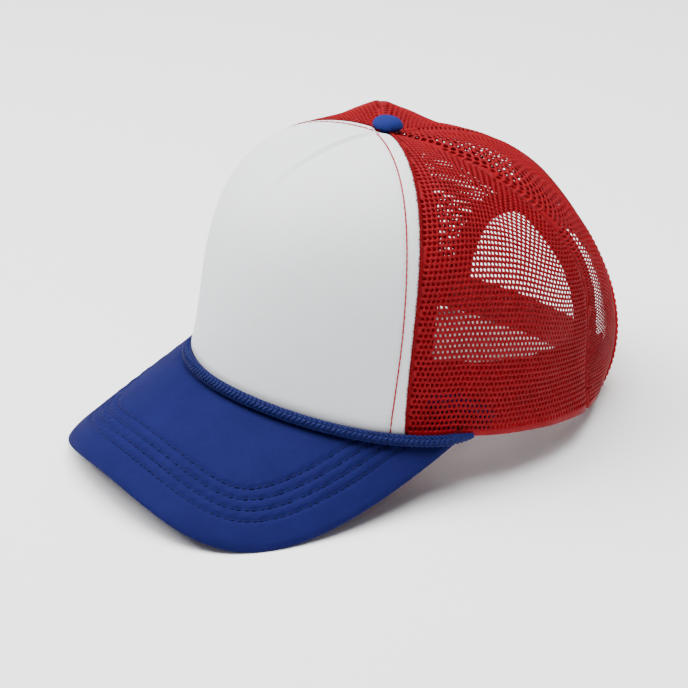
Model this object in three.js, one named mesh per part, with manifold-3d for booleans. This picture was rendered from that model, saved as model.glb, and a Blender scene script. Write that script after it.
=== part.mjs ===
// A trucker cap with a foam front, a net back and a foam-padded bill, resting on a flat surface.
// Millimetres and degrees. The cap faces -Y, the wearer's left is +X and up is +Z.
// Every piece is worked out with the rim level. The whole cap is then tipped back until the corners
// of the bill and the back rim carry it, with z = 0 as the surface and the origin under its middle.

import * as THREE from 'three';
import Module from 'manifold-3d';

const wasm = await Module();
wasm.setup();

// Rim and crown
const rimHalfWidth = 91;
const rimFront = 105; // from the middle to the front of the rim
const rimBack = 89;
const rimRoundness = 1.93; // 2 is an ellipse
const crownHeight = 110.5;
const topForward = 31.5; // the button lies this far in front of the middle
const rimBackHeight = -4.6; // the rim's height at centre back
const rimSideRise = 3.8;
const topHoleRadius = 4.6;

// Clearances
const clearance = 0.3; // between pieces that are sewn or pressed together
const seamGap = 0.5; // between two panels, edge to edge
const layerClearance = 0.68; // between curved layers that lie on each other
const restPress = 0.8; // how far the soft edges flatten where they rest

// Walls
const netThickness = 1.2;
const foamThickness = 3;
const foamSeamThickness = 1.2; // the foam is pinched where it is sewn
const foamPinch = 8; // how far it takes to swell to its full thickness
const foamPinchMargin = 3; // the foam stays thin this far past the tape
const tapeThickness = 0.8;
const bindingThickness = 0.8;
const strapThickness = 1;
const edgeThickness = 1;
const bandThickness = 1.5;

// Seams, each as its angle at the rim and its bends on the way up
const frontSeam = { rim: 51.3, lean: -6.8, bend: 7.4 };
const sideSeam = { rim: 115.2, lean: -3.3, bend: -10.6 };
const backSeam = { rim: 180, lean: 0, bend: 0 };

// Bill
const billBendRadius = 116;
const billDrop = 33; // slope of its middle line below the rim, in degrees
const billRootHeight = 2.2;
const billLength = 62.4; // past the front of the rim
const billCornerAcross = 95.4;
const billCornerBack = 52.9; // how far the corners lie behind the front of the rim
const billSideHandle = 112; // pull of the side edge, forwards from the corner
const billFrontHandle = 64.6; // pull of the front edge, outwards from the middle
const billThickness = 5.2; // all of it below the bent sheet that the rim stands on
const billLipDrop = 1.8; // the rounded edge reaches furthest this far below the top
const billLip = 5; // width of the rounded edge
const billTuck = 6.6; // the inner margin that reaches under the crown
const billCornerAngle = 63.9;

// Rope, button, bands and tapes
const ropeDiameter = 5.2;
const ropeEndAngle = 69;
const ropeLevelAngle = 58; // past it the rope keeps its height over the rim
const buttonDiameter = 13.4;
const buttonHeight = 5.4;
const buttonShank = 5;
const bandHeight = 31;
const bandEndHeight = 27;
const bandEndAngle = 141;
const edgeHeight = 20; // the bill's cloth edge, turned up inside the crown
const edgeEndAngle = 76;
const frontTapeHalf = 8.8;
const backTapeHalf = 10.5;
const tapeStartRadius = 10;
const tapeCrowding = 0.47; // the most that a tape's half-width takes of its distance to the button

// Half-moon opening and snap strap
const archHalfAngle = 34.5;
const archShare = 0.355; // the opening's height, as a share of the way up the centre back
const archSquareness = 3.2;
const bindingWidth = 8;
const strapHeight = 20.5;
const strapTipHeight = 17;
const strapRoot = 139.5;
const strapLift = 4; // the strap runs straighter than the rim, and so lies higher in the middle
const strapTipReach = 15; // how far the holed half passes the middle
const snapPitch = 7.6;
const snapCount = 7;
const snapsFastened = 7;
const snapTipMargin = 5.6;
const pegDiameter = 4.4;
const pegStandOut = 1.4;
const pegHoleDiameter = 5.4;

// One row for each station round the crown: how square its profile is near the top and near the rim,
// and how far the cloth bulges low down, as a share of the rim's radius there.
const profiles = [
  { angle: -146, top: 3.15, side: 1.65, bulge: 0.027 },
  { angle: -112, top: 2.8, side: 3.35, bulge: -0.005 },
  { angle: -80, top: 2.4, side: 3.2, bulge: -0.01 },
  { angle: -52, top: 2.38, side: 3.74, bulge: -0.04 },
  { angle: -26, top: 2.6, side: 4.03, bulge: -0.011 },
  { angle: 0, top: 1.45, side: 5, bulge: 0.01 },
  { angle: 52, top: 2.55, side: 3.95, bulge: -0.02 },
  { angle: 80, top: 2.15, side: 2.9, bulge: -0.01 },
  { angle: 112, top: 1.34, side: 3.66, bulge: -0.056 },
  { angle: 146, top: 3.25, side: 1.76, bulge: 0.073 },
  { angle: 180, top: 3.35, side: 2.2, bulge: 0.027 },
];

// Stiff seams and a fold that hold the cloth up like tent poles. The lift is a share of the crown's
// height, the spread an angle, and the crest the share of the way down where the lift is greatest.
const ridges = [
  { name: 'right side seam', seam: sideSeam, side: -1, lift: 0.062, spread: 22, crest: 0.35 },
  { name: 'left side seam', seam: sideSeam, side: 1, lift: 0.034, spread: 22, crest: 0.35 },
  { name: 'front crease', seam: { rim: 0, lean: 0, bend: 0 }, side: 1, lift: 0.013, spread: 7, crest: 0.24 },
];
const ridgeStart = 0.07;

const foamWhite = { color: '#e8e9ea', roughness: 0.9, metalness: 0 };
const netRed = { color: '#b3121f', roughness: 0.75, metalness: 0 };
const tapeRed = { color: '#a30f1c', roughness: 0.85, metalness: 0 };
const strapRed = { color: '#b0101c', roughness: 0.4, metalness: 0 };
const billBlue = { color: '#1c3a8c', roughness: 0.85, metalness: 0 };
const ropeBlue = { color: '#183a9a', roughness: 0.6, metalness: 0 };

const radians = (degrees) => THREE.MathUtils.degToRad(degrees);
const clamp = THREE.MathUtils.clamp;
const lerp = THREE.MathUtils.lerp;
const smooth = (share) => THREE.MathUtils.smoothstep(share, 0, 1);
const spread = (from, to, steps) => Array.from({ length: steps + 1 }, (_, i) => lerp(from, to, i / steps));
const wrap = (angle) => ((((angle + 180) % 360) + 360) % 360) - 180;

// The rim seen from above
function rimPlan(angle) {
  const a = radians(angle);
  const length = Math.cos(a) > 0 ? rimFront : rimBack;
  const across = Math.abs(Math.sin(a) / rimHalfWidth) ** rimRoundness;
  const along = Math.abs(Math.cos(a) / length) ** rimRoundness;
  const radius = (across + along) ** (-1 / rimRoundness);
  return [radius * Math.sin(a), -radius * Math.cos(a)];
}

// A point of the bill's bent sheet, from its place on the flat board: across, and forward of the rim.
function billPoint(across, forward, raise = 0) {
  const turn = across / billBendRadius;
  const fall = billBendRadius - (billBendRadius + raise) * Math.cos(turn);
  const slope = radians(billDrop);
  return new THREE.Vector3(
    (billBendRadius + raise) * Math.sin(turn),
    -rimFront - forward * Math.cos(slope) + fall * Math.sin(slope),
    billRootHeight - forward * Math.sin(slope) - fall * Math.cos(slope),
  );
}

// Where a plan point lies on the flat board
function billPlace(x, y) {
  const turn = Math.asin(clamp(x / billBendRadius, -1, 1));
  const sag = billBendRadius * (1 - Math.cos(turn));
  const slope = radians(billDrop);
  return [billBendRadius * turn, (-rimFront - y + sag * Math.sin(slope)) / Math.cos(slope)];
}

// The rim follows the bill in front and its own low wave behind.
function rimHeight(angle) {
  const turned = Math.abs(wrap(angle));
  const onBill = billPoint(...billPlace(...rimPlan(Math.min(turned, billCornerAngle)))).z;
  const share = clamp((turned - billCornerAngle) / (180 - billCornerAngle), 0, 1);
  return lerp(onBill, rimBackHeight, smooth(share)) + rimSideRise * 16 * share ** 2 * (1 - share) ** 2;
}

// Blend the profile rows smoothly round the crown.
function profileAt(angle) {
  const turned = wrap(angle);
  const count = profiles.length;
  const row = (i) => {
    const lap = Math.floor(i / count);
    return { ...profiles[i - lap * count], angle: profiles[i - lap * count].angle + lap * 360 };
  };
  let first = -1;
  while (row(first + 1).angle <= turned) first += 1;
  const [before, from, to, after] = [first - 1, first, first + 1, first + 2].map(row);
  const step = to.angle - from.angle;
  const t = (turned - from.angle) / step;
  const blend = (key) => {
    const leave = ((to[key] - before[key]) / (to.angle - before.angle)) * step;
    const arrive = ((after[key] - from[key]) / (after.angle - from.angle)) * step;
    return (2 * t ** 3 - 3 * t ** 2 + 1) * from[key] + (t ** 3 - 2 * t ** 2 + t) * leave
      + (3 * t ** 2 - 2 * t ** 3) * to[key] + (t ** 3 - t ** 2) * arrive;
  };
  return { top: blend('top'), side: blend('side'), bulge: blend('bulge') };
}

const seamAngle = (seam, share) => seam.rim + seam.lean * (1 - share) + seam.bend * (1 - share) ** 2;

function ridgeLift(angle, share) {
  let lift = 0;
  for (const ridge of ridges) {
    const away = Math.abs(wrap(angle - ridge.side * seamAngle(ridge.seam, share)));
    const along = Math.max(share - ridgeStart, 0) / (ridge.crest - ridgeStart);
    const rise = along ** 1.5 * Math.exp(1.5 * (1 - along)) * ((1 - share) / (1 - ridge.crest));
    lift += ridge.lift * crownHeight * rise * Math.exp(-away / ridge.spread);
  }
  return lift;
}

// A point of the crown's outer surface. The share runs from 0 at the button to 1 at the rim.
function crownSurface(angle, share) {
  const { top, side, bulge } = profileAt(angle);
  const t = clamp(share, 1e-6, 1);
  const sum = t ** top + (1 - t) ** side;
  const outward = t / sum ** (1 / top);
  const upward = (1 - t) / sum ** (1 / side);
  const swell = 1 + 6.75 * bulge * upward * (1 - upward) ** 2;
  const [x, y] = rimPlan(angle);
  const base = rimHeight(angle);
  const point = new THREE.Vector3(
    x * outward * swell,
    y * outward * swell - topForward * (1 - outward),
    base + (crownHeight - base) * upward,
  );
  const heart = new THREE.Vector3(0, -topForward / 2, crownHeight * 0.3);
  return point.addScaledVector(point.clone().sub(heart).normalize(), ridgeLift(angle, t));
}

function crownFrame(angle, share) {
  const turnStep = 2;
  const shareStep = 0.004;
  const t = clamp(share, shareStep, 1 - shareStep);
  const point = crownSurface(angle, share);
  const round = crownSurface(angle + turnStep, t).sub(crownSurface(angle - turnStep, t));
  const down = crownSurface(angle, t + shareStep).sub(crownSurface(angle, t - shareStep));
  const perDegree = round.length() / (2 * turnStep);
  const perShare = down.length() / (2 * shareStep);
  const normal = down.clone().cross(round).normalize();
  return { point, round: round.normalize(), down: down.normalize(), normal, perDegree, perShare };
}

// A point of the crown, sunk below its outer surface
function crownPoint(angle, share, depth) {
  const { point, normal } = crownFrame(angle, share);
  return point.addScaledVector(normal, -depth);
}

// The share of the way down at which the crown lies a given height above its rim
function shareAtHeight(angle, height) {
  let [low, high] = [0, 1];
  for (let i = 0; i < 40; i += 1) {
    const middle = (low + high) / 2;
    if (crownSurface(angle, middle).z - rimHeight(angle) > height) low = middle;
    else high = middle;
  }
  return high;
}

const topShare = (angle, radius) => {
  const [x, y] = rimPlan(angle);
  return radius / Math.hypot(x, y + topForward);
};

// Close two matching grids of points into one solid.
function shell(outer, inner) {
  const rows = outer.length;
  const columns = outer[0].length;
  const points = [...outer.flat(), ...inner.flat()];
  const outerAt = (row, column) => row * columns + column;
  const innerAt = (row, column) => rows * columns + row * columns + column;
  const faces = [];
  const quad = (a, b, c, d) => faces.push([a, b, c], [a, c, d]);
  for (let r = 0; r < rows - 1; r += 1) {
    for (let c = 0; c < columns - 1; c += 1) {
      quad(outerAt(r, c), outerAt(r, c + 1), outerAt(r + 1, c + 1), outerAt(r + 1, c));
      quad(innerAt(r, c), innerAt(r + 1, c), innerAt(r + 1, c + 1), innerAt(r, c + 1));
    }
  }
  for (let c = 0; c < columns - 1; c += 1) {
    quad(outerAt(0, c), innerAt(0, c), innerAt(0, c + 1), outerAt(0, c + 1));
    quad(outerAt(rows - 1, c), outerAt(rows - 1, c + 1), innerAt(rows - 1, c + 1), innerAt(rows - 1, c));
  }
  const last = columns - 1;
  for (let r = 0; r < rows - 1; r += 1) {
    quad(outerAt(r, 0), outerAt(r + 1, 0), innerAt(r + 1, 0), innerAt(r, 0));
    quad(outerAt(r, last), innerAt(r, last), innerAt(r + 1, last), outerAt(r + 1, last));
  }
  return closedGeometry(points, faces);
}

// Build a geometry whose faces point outwards.
function closedGeometry(points, faces) {
  let volume = 0;
  for (const [a, b, c] of faces) volume += points[a].dot(points[b].clone().cross(points[c]));
  const turned = volume > 0 ? faces : faces.map(([a, b, c]) => [a, c, b]);
  const geometry = new THREE.BufferGeometry();
  geometry.setAttribute('position', new THREE.Float32BufferAttribute(points.flatMap((p) => p.toArray()), 3));
  geometry.setIndex(turned.flat());
  return geometry;
}

// A strip of the crown, with a column for each entry of the list. A column says its angle and how far
// down it is at each share of the strip, and a depth may depend on both.
function crownStrip(shares, columns, outerDepth, innerDepth) {
  const grid = (sink) => shares.map((share) => columns.map((column) => {
    const angle = column.angle(share);
    const depth = typeof sink === 'function' ? sink(column, share) : sink;
    return crownPoint(angle, column.share(share, angle, depth), depth);
  }));
  return shell(grid(outerDepth), grid(innerDepth));
}

const panelRows = 17;
const archSteps = 12; // columns and sections over half the opening
const halfGapAngle = (angle, share) => seamGap / 2 / crownFrame(angle, share).perDegree;

// How far a point stands above the bill's bent sheet
function overBill(point) {
  const slope = radians(billDrop);
  const up = new THREE.Vector3(0, -Math.sin(slope), Math.cos(slope));
  const bendMiddle = new THREE.Vector3(0, -rimFront, billRootHeight).addScaledVector(up, -billBendRadius);
  return Math.hypot(point.x, point.clone().sub(bendMiddle).dot(up)) - billBendRadius;
}

// Panels and bands end just above the bill in front, and at the rim behind.
function hemShare(angle, depth) {
  let [low, high] = [0.7, 1];
  for (let i = 0; i < 24; i += 1) {
    const share = (low + high) / 2;
    if (overBill(crownPoint(angle, share, depth)) > clearance) low = share;
    else high = share;
  }
  const past = smooth((Math.abs(wrap(angle)) - billCornerAngle - 4) / 8);
  return lerp(low, 1, past);
}

function frontPanel() {
  const half = [0.07, 0.2, 0.34, 0.48, 0.62, 0.76, 0.88, 1];
  const columns = [...half.map((across) => -across).reverse(), 0, ...half].map((across) => ({
    across,
    angle: (share) => {
      const edge = seamAngle(frontSeam, share);
      return across * (edge - halfGapAngle(edge, share));
    },
    share: (share, angle, depth) => lerp(topShare(angle, topHoleRadius), hemShare(angle, depth), share),
  }));
  const inside = (column, share) => {
    const edge = seamAngle(frontSeam, share);
    const fromSeam = (1 - Math.abs(column.across)) * edge * crownFrame(edge / 2, share).perDegree;
    const swell = smooth((fromSeam - frontTapeHalf - foamPinchMargin) / foamPinch);
    return lerp(foamSeamThickness, foamThickness, swell);
  };
  return crownStrip(spread(0, 1, panelRows), columns, 0, inside);
}

function sideNet(side) {
  const columns = spread(0, 1, 8).map((across) => ({
    angle: (share) => {
      const from = seamAngle(frontSeam, share);
      const to = seamAngle(sideSeam, share);
      return side * lerp(from + halfGapAngle(from, share), to - halfGapAngle(to, share), across);
    },
    share: (share, angle, depth) => lerp(topShare(angle, topHoleRadius), hemShare(angle, depth), share),
  }));
  return crownStrip(spread(0, 1, panelRows), columns, 0, netThickness);
}

// How far down the centre back a net panel reaches: to the rim beside the opening, to its arch above it
function backHemShare(angle) {
  const across = (180 - Math.abs(angle)) / archHalfAngle;
  return across >= 1 ? 1 : 1 - archShare * (1 - across ** archSquareness) ** (1 / archSquareness);
}

function backNet(side) {
  const archStart = 180 - archHalfAngle;
  const beside = spread(0, 1, 5).map((across) => ({
    angle: (share) => {
      const from = seamAngle(sideSeam, share);
      return side * lerp(from + halfGapAngle(from, share), archStart, across);
    },
  }));
  const above = spread(0, 90, archSteps).slice(1).map((turn) => ({
    angle: (share) => {
      const gap = turn === 90 ? halfGapAngle(180, Math.max(share, 0.1)) : 0;
      return side * (360 - archEdge(turn).angle - gap);
    },
  }));
  const columns = [...beside, ...above].map((column) => ({
    ...column,
    share: (share, angle) => lerp(topShare(angle, topHoleRadius), backHemShare(angle), share),
  }));
  return crownStrip(spread(0, 1, panelRows), columns, 0, netThickness);
}

// The flat outline of one half of the bill, from its corner to the middle of its front
function billOutline(share) {
  const curve = new THREE.CubicBezierCurve(
    new THREE.Vector2(billCornerAcross, -billCornerBack),
    new THREE.Vector2(billCornerAcross, billSideHandle - billCornerBack),
    new THREE.Vector2(billFrontHandle, billLength),
    new THREE.Vector2(0, billLength),
  );
  return curve.getPoint(share);
}

function bill() {
  const stations = spread(-1, 1, 32);
  const insets = [0, 0.5, 1.6, billLip, 14, 28]; // from the outer edge inwards
  const fullness = (inset) => Math.sqrt(1 - (1 - clamp((inset + 0.15) / billLip, 0, 1)) ** 2);
  const row = (station) => {
    const outer = billOutline(1 - Math.abs(station));
    const angle = station * billCornerAngle;
    const [x, y] = rimPlan(angle);
    const inwards = (Math.hypot(x, y) - billTuck) / Math.hypot(x, y);
    const root = new THREE.Vector2(...billPlace(x * inwards, y * inwards));
    const edge = new THREE.Vector2(Math.sign(station) * outer.x, outer.y);
    const width = edge.distanceTo(root);
    const shares = [...insets.map((inset) => Math.min(inset, width * inset / 30) / width), 1];
    return shares.map((share) => ({ place: edge.clone().lerp(root, share), inset: share * width }));
  };
  const grid = (skin) => stations.map((station) => row(station).map(({ place, inset }) => (
    billPoint(place.x, place.y, lerp(-billLipDrop, skin, fullness(inset)))
  )));
  return shell(grid(0), grid(-billThickness));
}

// The bill's cloth edge, between the crown and the band
function billEdge() {
  const depth = foamThickness + layerClearance;
  const columns = spread(-1, 1, 22).map((across) => ({
    angle: () => across * edgeEndAngle,
    share: (share, angle, sink) => {
      const height = edgeHeight * Math.sqrt(1 - 0.75 * across ** 6);
      return lerp(shareAtHeight(angle, height), hemShare(angle, sink), share);
    },
  }));
  return crownStrip([0, 0.5, 1], columns, depth, depth + edgeThickness);
}

function sweatband() {
  const depth = foamThickness + edgeThickness + 2 * layerClearance;
  const columns = spread(-1, 1, 44).map((across) => ({
    angle: () => across * bandEndAngle,
    share: (share, angle, sink) => {
      const height = lerp(bandHeight, bandEndHeight, smooth((Math.abs(angle) - 105) / (bandEndAngle - 105)));
      return lerp(shareAtHeight(angle, height), hemShare(angle, sink), share);
    },
  }));
  return crownStrip([0, 0.5, 1], columns, depth, depth + bandThickness);
}

function seamTape(seam, side, halfWidth, endShare) {
  const depth = netThickness + layerClearance;
  const rootAngle = side * seam.rim;
  const down = (share) => lerp(topShare(rootAngle, tapeStartRadius), endShare, share);
  const columns = spread(-1, 1, 4).map((across) => ({
    angle: (share) => {
      const middle = side * seamAngle(seam, down(share));
      const { point, perDegree } = crownFrame(middle, down(share));
      const room = tapeCrowding * Math.hypot(point.x, point.y + topForward);
      return middle + (across * Math.min(halfWidth, room)) / perDegree;
    },
    share: (share, angle, sink) => Math.min(down(share), hemShare(angle, sink)),
  }));
  return crownStrip(spread(0, 1, 15), columns, depth, depth + tapeThickness);
}

// The edge of the opening, for a turn from 0 beside the left root of the strap to 180 beside the right
function archEdge(turn) {
  const a = radians(clamp(turn, 0, 180));
  const power = 2 / archSquareness;
  return {
    angle: 180 + archHalfAngle * Math.sign(Math.cos(a)) * Math.abs(Math.cos(a)) ** power,
    share: 1 - archShare * Math.abs(Math.sin(a)) ** power,
  };
}

// The binding folds over the edge of the net all round the half-moon.
function archBinding() {
  const surface = (edge) => crownSurface(edge.angle, edge.share);
  const rows = spread(0, 180, 2 * archSteps).map((turn) => {
    const edge = archEdge(turn);
    const frame = crownFrame(edge.angle, edge.share);
    const along = surface(archEdge(turn + 1)).sub(surface(archEdge(turn - 1))).normalize();
    const away = along.cross(frame.normal).normalize();
    return { edge, frame, away };
  });
  const grid = (skin) => rows.map(({ edge, frame, away }) => {
    const stand = layerClearance + skin * bindingThickness;
    const leg = (into, depth) => crownPoint(
      edge.angle + (into * away.dot(frame.round)) / frame.perDegree,
      Math.min(edge.share + (into * away.dot(frame.down)) / frame.perShare, 1),
      depth,
    );
    const fold = (depth) => frame.point.clone()
      .addScaledVector(away, -stand)
      .addScaledVector(frame.normal, -depth);
    const inner = netThickness + stand;
    const middle = bindingWidth / 2;
    const outside = [leg(bindingWidth, -stand), leg(middle, -stand), fold(-stand)];
    return [...outside, fold(inner), leg(middle, inner), leg(bindingWidth, inner)];
  });
  return shell(grid(1), grid(0));
}

// One half of the snap strap, from its sewn root towards a tip past the middle. The place runs from
// the middle, positive towards the root, as a length round the rim.
const strapOuterDepth = netThickness + bindingThickness + clearance + layerClearance;
const rimPerDegree = crownFrame(180, 0.98).perDegree;
const rootPlace = (180 - strapRoot) * rimPerDegree;
const strapRise = (place) => strapLift * (1 - smooth(Math.abs(place) / rootPlace));

function strapGrid(side, tipPlace, depthAt) {
  const tipRound = strapTipHeight / 2;
  const places = [
    ...spread(rootPlace, tipPlace + tipRound, 16),
    ...[0.6, 0.87, 0.98].map((share) => tipPlace + tipRound * (1 - share)),
  ];
  const grid = (sink) => places.map((place) => {
    const toTip = clamp((place - tipPlace) / tipRound, 0, 1);
    const roundness = Math.sqrt(1 - (1 - toTip) ** 2);
    const body = lerp(strapTipHeight, strapHeight, clamp((place - tipPlace) / (rootPlace - tipPlace), 0, 1));
    const height = body * roundness;
    const middle = body / 2 + strapRise(place);
    const angle = 180 - side * (place / rimPerDegree);
    return [-0.5, 0, 0.5].map((up) => {
      const share = shareAtHeight(angle, Math.max(middle + up * height, 0));
      return crownPoint(angle, share, depthAt(place) + sink);
    });
  });
  return shell(grid(0), grid(strapThickness));
}

function toSolid(geometry) {
  return new wasm.Manifold(new wasm.Mesh({
    numProp: 3,
    vertProperties: new Float32Array(geometry.attributes.position.array),
    triVerts: new Uint32Array(geometry.index.array),
  }));
}

function fromSolid(solid) {
  const mesh = solid.getMesh();
  const geometry = new THREE.BufferGeometry();
  geometry.setAttribute('position', new THREE.BufferAttribute(new Float32Array(mesh.vertProperties), 3));
  geometry.setIndex(new THREE.BufferAttribute(new Uint32Array(mesh.triVerts), 1));
  return geometry;
}

// A round pin square to the strap, at a place along it
function snapPin(place, diameter, fromDepth, toDepth) {
  const angle = 180 - place / rimPerDegree;
  const share = shareAtHeight(angle, strapTipHeight / 2 + 0.6 + strapRise(place));
  const { normal } = crownFrame(angle, share);
  const start = crownPoint(angle, share, fromDepth);
  const end = crownPoint(angle, share, toDepth);
  const pin = new THREE.CylinderGeometry(diameter / 2, diameter / 2, start.distanceTo(end), 10);
  pin.applyQuaternion(new THREE.Quaternion().setFromUnitVectors(new THREE.Vector3(0, 1, 0), normal));
  pin.translate(...start.add(end).multiplyScalar(0.5).toArray());
  return toSolid(weld(pin));
}

// Merge the corners that a round pin's ends and side share.
function weld(geometry) {
  const source = geometry.attributes.position;
  const places = new Map();
  const points = [];
  const names = Array.from({ length: source.count }, (_, i) => {
    const point = new THREE.Vector3().fromBufferAttribute(source, i);
    const key = point.toArray().map((value) => Math.round(value * 1e4)).join();
    if (!places.has(key)) places.set(key, points.push(point) - 1);
    return places.get(key);
  });
  const faces = [];
  for (let i = 0; i < geometry.index.count; i += 3) {
    const [a, b, c] = [0, 1, 2].map((k) => names[geometry.index.getX(i + k)]);
    if (a !== b && b !== c && c !== a) faces.push([a, b, c]);
  }
  return closedGeometry(points, faces);
}

const snapPlaces = (first) => Array.from({ length: snapCount }, (_, i) => first + i * snapPitch);
const firstHole = strapTipReach - snapTipMargin;
const lastFastened = firstHole - (snapsFastened - 1) * snapPitch;
const pegTipReach = snapTipMargin - lastFastened;

// The holed half is rooted on the wearer's right and lies outside the pegged half.
function strapHoles() {
  let solid = toSolid(strapGrid(-1, -strapTipReach, () => strapOuterDepth));
  for (const place of snapPlaces(firstHole - (snapCount - 1) * snapPitch)) {
    const hole = snapPin(place, pegHoleDiameter, strapOuterDepth - 2, strapOuterDepth + strapThickness + 2);
    solid = solid.subtract(hole);
  }
  return fromSolid(solid);
}

function strapPegs() {
  const inner = strapOuterDepth + strapThickness + clearance;
  const stepStart = strapTipReach + 2;
  const depthAt = (place) => lerp(inner, strapOuterDepth, smooth((place - stepStart) / 16));
  let solid = toSolid(strapGrid(1, -pegTipReach, depthAt));
  for (const place of snapPlaces(lastFastened)) {
    const base = depthAt(place);
    const tip = base - strapThickness - clearance - pegStandOut;
    solid = solid.add(snapPin(place, pegDiameter, tip, base + strapThickness / 2));
  }
  return fromSolid(solid);
}

function button() {
  const radius = buttonDiameter / 2;
  const base = clearance + 0.5;
  const dome = spread(0, 90, 6).map((turn) => new THREE.Vector2(
    radius * Math.cos(radians(turn)) ** 0.8,
    base + 1.2 + (buttonHeight - 1.2) * Math.sin(radians(turn)),
  ));
  dome[dome.length - 1].x = 0;
  const profile = [
    new THREE.Vector2(0, -buttonShank),
    new THREE.Vector2(topHoleRadius - 1.4, -buttonShank),
    new THREE.Vector2(topHoleRadius - 1.4, base),
    new THREE.Vector2(radius * 0.93, base),
    ...dome,
  ];
  const geometry = new THREE.LatheGeometry(profile, 16);
  geometry.rotateX(Math.PI / 2);
  geometry.translate(0, -topForward, crownHeight);
  return weld(geometry);
}

// The place in front of the rim where a rope of a given radius touches the crown, and its height over
// the rim when it lies on the bill
function ropeFoot(angle, radius) {
  const { point, normal } = crownFrame(angle, 1);
  point.addScaledVector(new THREE.Vector3(normal.x, normal.y, 0).normalize(), radius + clearance * 1.5);
  const place = billPlace(point.x, point.y);
  const steepness = Math.cos(place[0] / billBendRadius) * Math.cos(radians(billDrop));
  return { point, rise: billPoint(...place).z + (radius + clearance) / steepness - rimHeight(angle) };
}

function billRope() {
  const radius = ropeDiameter / 2;
  const section = new THREE.Shape(Array.from({ length: 8 }, (_, i) => new THREE.Vector2(
    radius * Math.cos((i * Math.PI) / 4),
    radius * Math.sin((i * Math.PI) / 4),
  )));
  const path = new THREE.CatmullRomCurve3(spread(-ropeEndAngle, ropeEndAngle, 28).map((angle) => {
    const { point } = ropeFoot(angle, radius);
    const level = clamp(angle, -ropeLevelAngle, ropeLevelAngle);
    return point.setZ(rimHeight(angle) + ropeFoot(level, radius).rise);
  }));
  const settings = { steps: 56, extrudePath: path, curveSegments: 1 };
  return weld(indexed(new THREE.ExtrudeGeometry(section, settings)));
}

function indexed(geometry) {
  const { count } = geometry.attributes.position;
  if (!geometry.index) geometry.setIndex(Array.from({ length: count }, (_, i) => i));
  return geometry;
}

// Tip the cap back until its bill and the back of its rim rest at one height.
function lowest(geometry, tilt) {
  const { array } = geometry.attributes.position;
  let low = Infinity;
  for (let i = 0; i < array.length; i += 3) {
    low = Math.min(low, array[i + 2] * Math.cos(tilt) - array[i + 1] * Math.sin(tilt));
  }
  return low;
}

function restTilt(front, backs) {
  let [low, high] = [0, radians(40)];
  for (let i = 0; i < 50; i += 1) {
    const middle = (low + high) / 2;
    const back = Math.min(...backs.map((piece) => lowest(piece, middle)));
    if (lowest(front, middle) < back) low = middle;
    else high = middle;
  }
  return high;
}

const bindingReach = (bindingWidth + 2 * layerClearance) / crownFrame(180, 1 - archShare).perShare;
const centreBackEnd = 1 - archShare - bindingReach;
const pieces = [
  ['front_panel', frontPanel(), foamWhite],
  ['side_mesh_left', sideNet(1), netRed],
  ['side_mesh_right', sideNet(-1), netRed],
  ['back_mesh_left', backNet(1), netRed],
  ['back_mesh_right', backNet(-1), netRed],
  ['bill', bill(), billBlue],
  ['bill_edge', billEdge(), billBlue],
  ['bill_rope', billRope(), ropeBlue],
  ['button', button(), billBlue],
  ['sweatband', sweatband(), tapeRed],
  ['arch_binding', archBinding(), tapeRed],
  ['strap_holes', strapHoles(), strapRed],
  ['strap_pegs', strapPegs(), strapRed],
  ['tape_front_left', seamTape(frontSeam, 1, frontTapeHalf, 1), tapeRed],
  ['tape_front_right', seamTape(frontSeam, -1, frontTapeHalf, 1), tapeRed],
  ['tape_back_left', seamTape(sideSeam, 1, backTapeHalf, 1), tapeRed],
  ['tape_back_right', seamTape(sideSeam, -1, backTapeHalf, 1), tapeRed],
  ['tape_center', seamTape(backSeam, 1, backTapeHalf, centreBackEnd), tapeRed],
];

const shapes = Object.fromEntries(pieces.map(([name, geometry]) => [name, geometry]));
const backs = ['strap_holes', 'strap_pegs', 'arch_binding', 'back_mesh_left', 'back_mesh_right'];
const tilt = restTilt(shapes.bill, backs.map((name) => shapes[name]));
const floor = lowest(shapes.bill, tilt) + restPress;
const box = new THREE.Box3();
for (const [, geometry] of pieces) {
  geometry.rotateX(-tilt);
  geometry.translate(0, 0, -floor);
  const { position } = geometry.attributes;
  for (let i = 0; i < position.count; i += 1) position.setZ(i, Math.max(position.getZ(i), 0));
  box.union(new THREE.Box3().setFromBufferAttribute(position));
}
const middle = box.getCenter(new THREE.Vector3());

const cap = new THREE.Group();
for (const [name, geometry, finish] of pieces) {
  geometry.translate(-middle.x, -middle.y, 0);
  geometry.computeVertexNormals();
  const mesh = new THREE.Mesh(geometry, new THREE.MeshStandardMaterial(finish));
  mesh.name = name;
  cap.add(mesh);
}

export default cap;
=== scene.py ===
import math

import bmesh
import bpy
import numpy as np
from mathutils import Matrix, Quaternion, Vector


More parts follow.
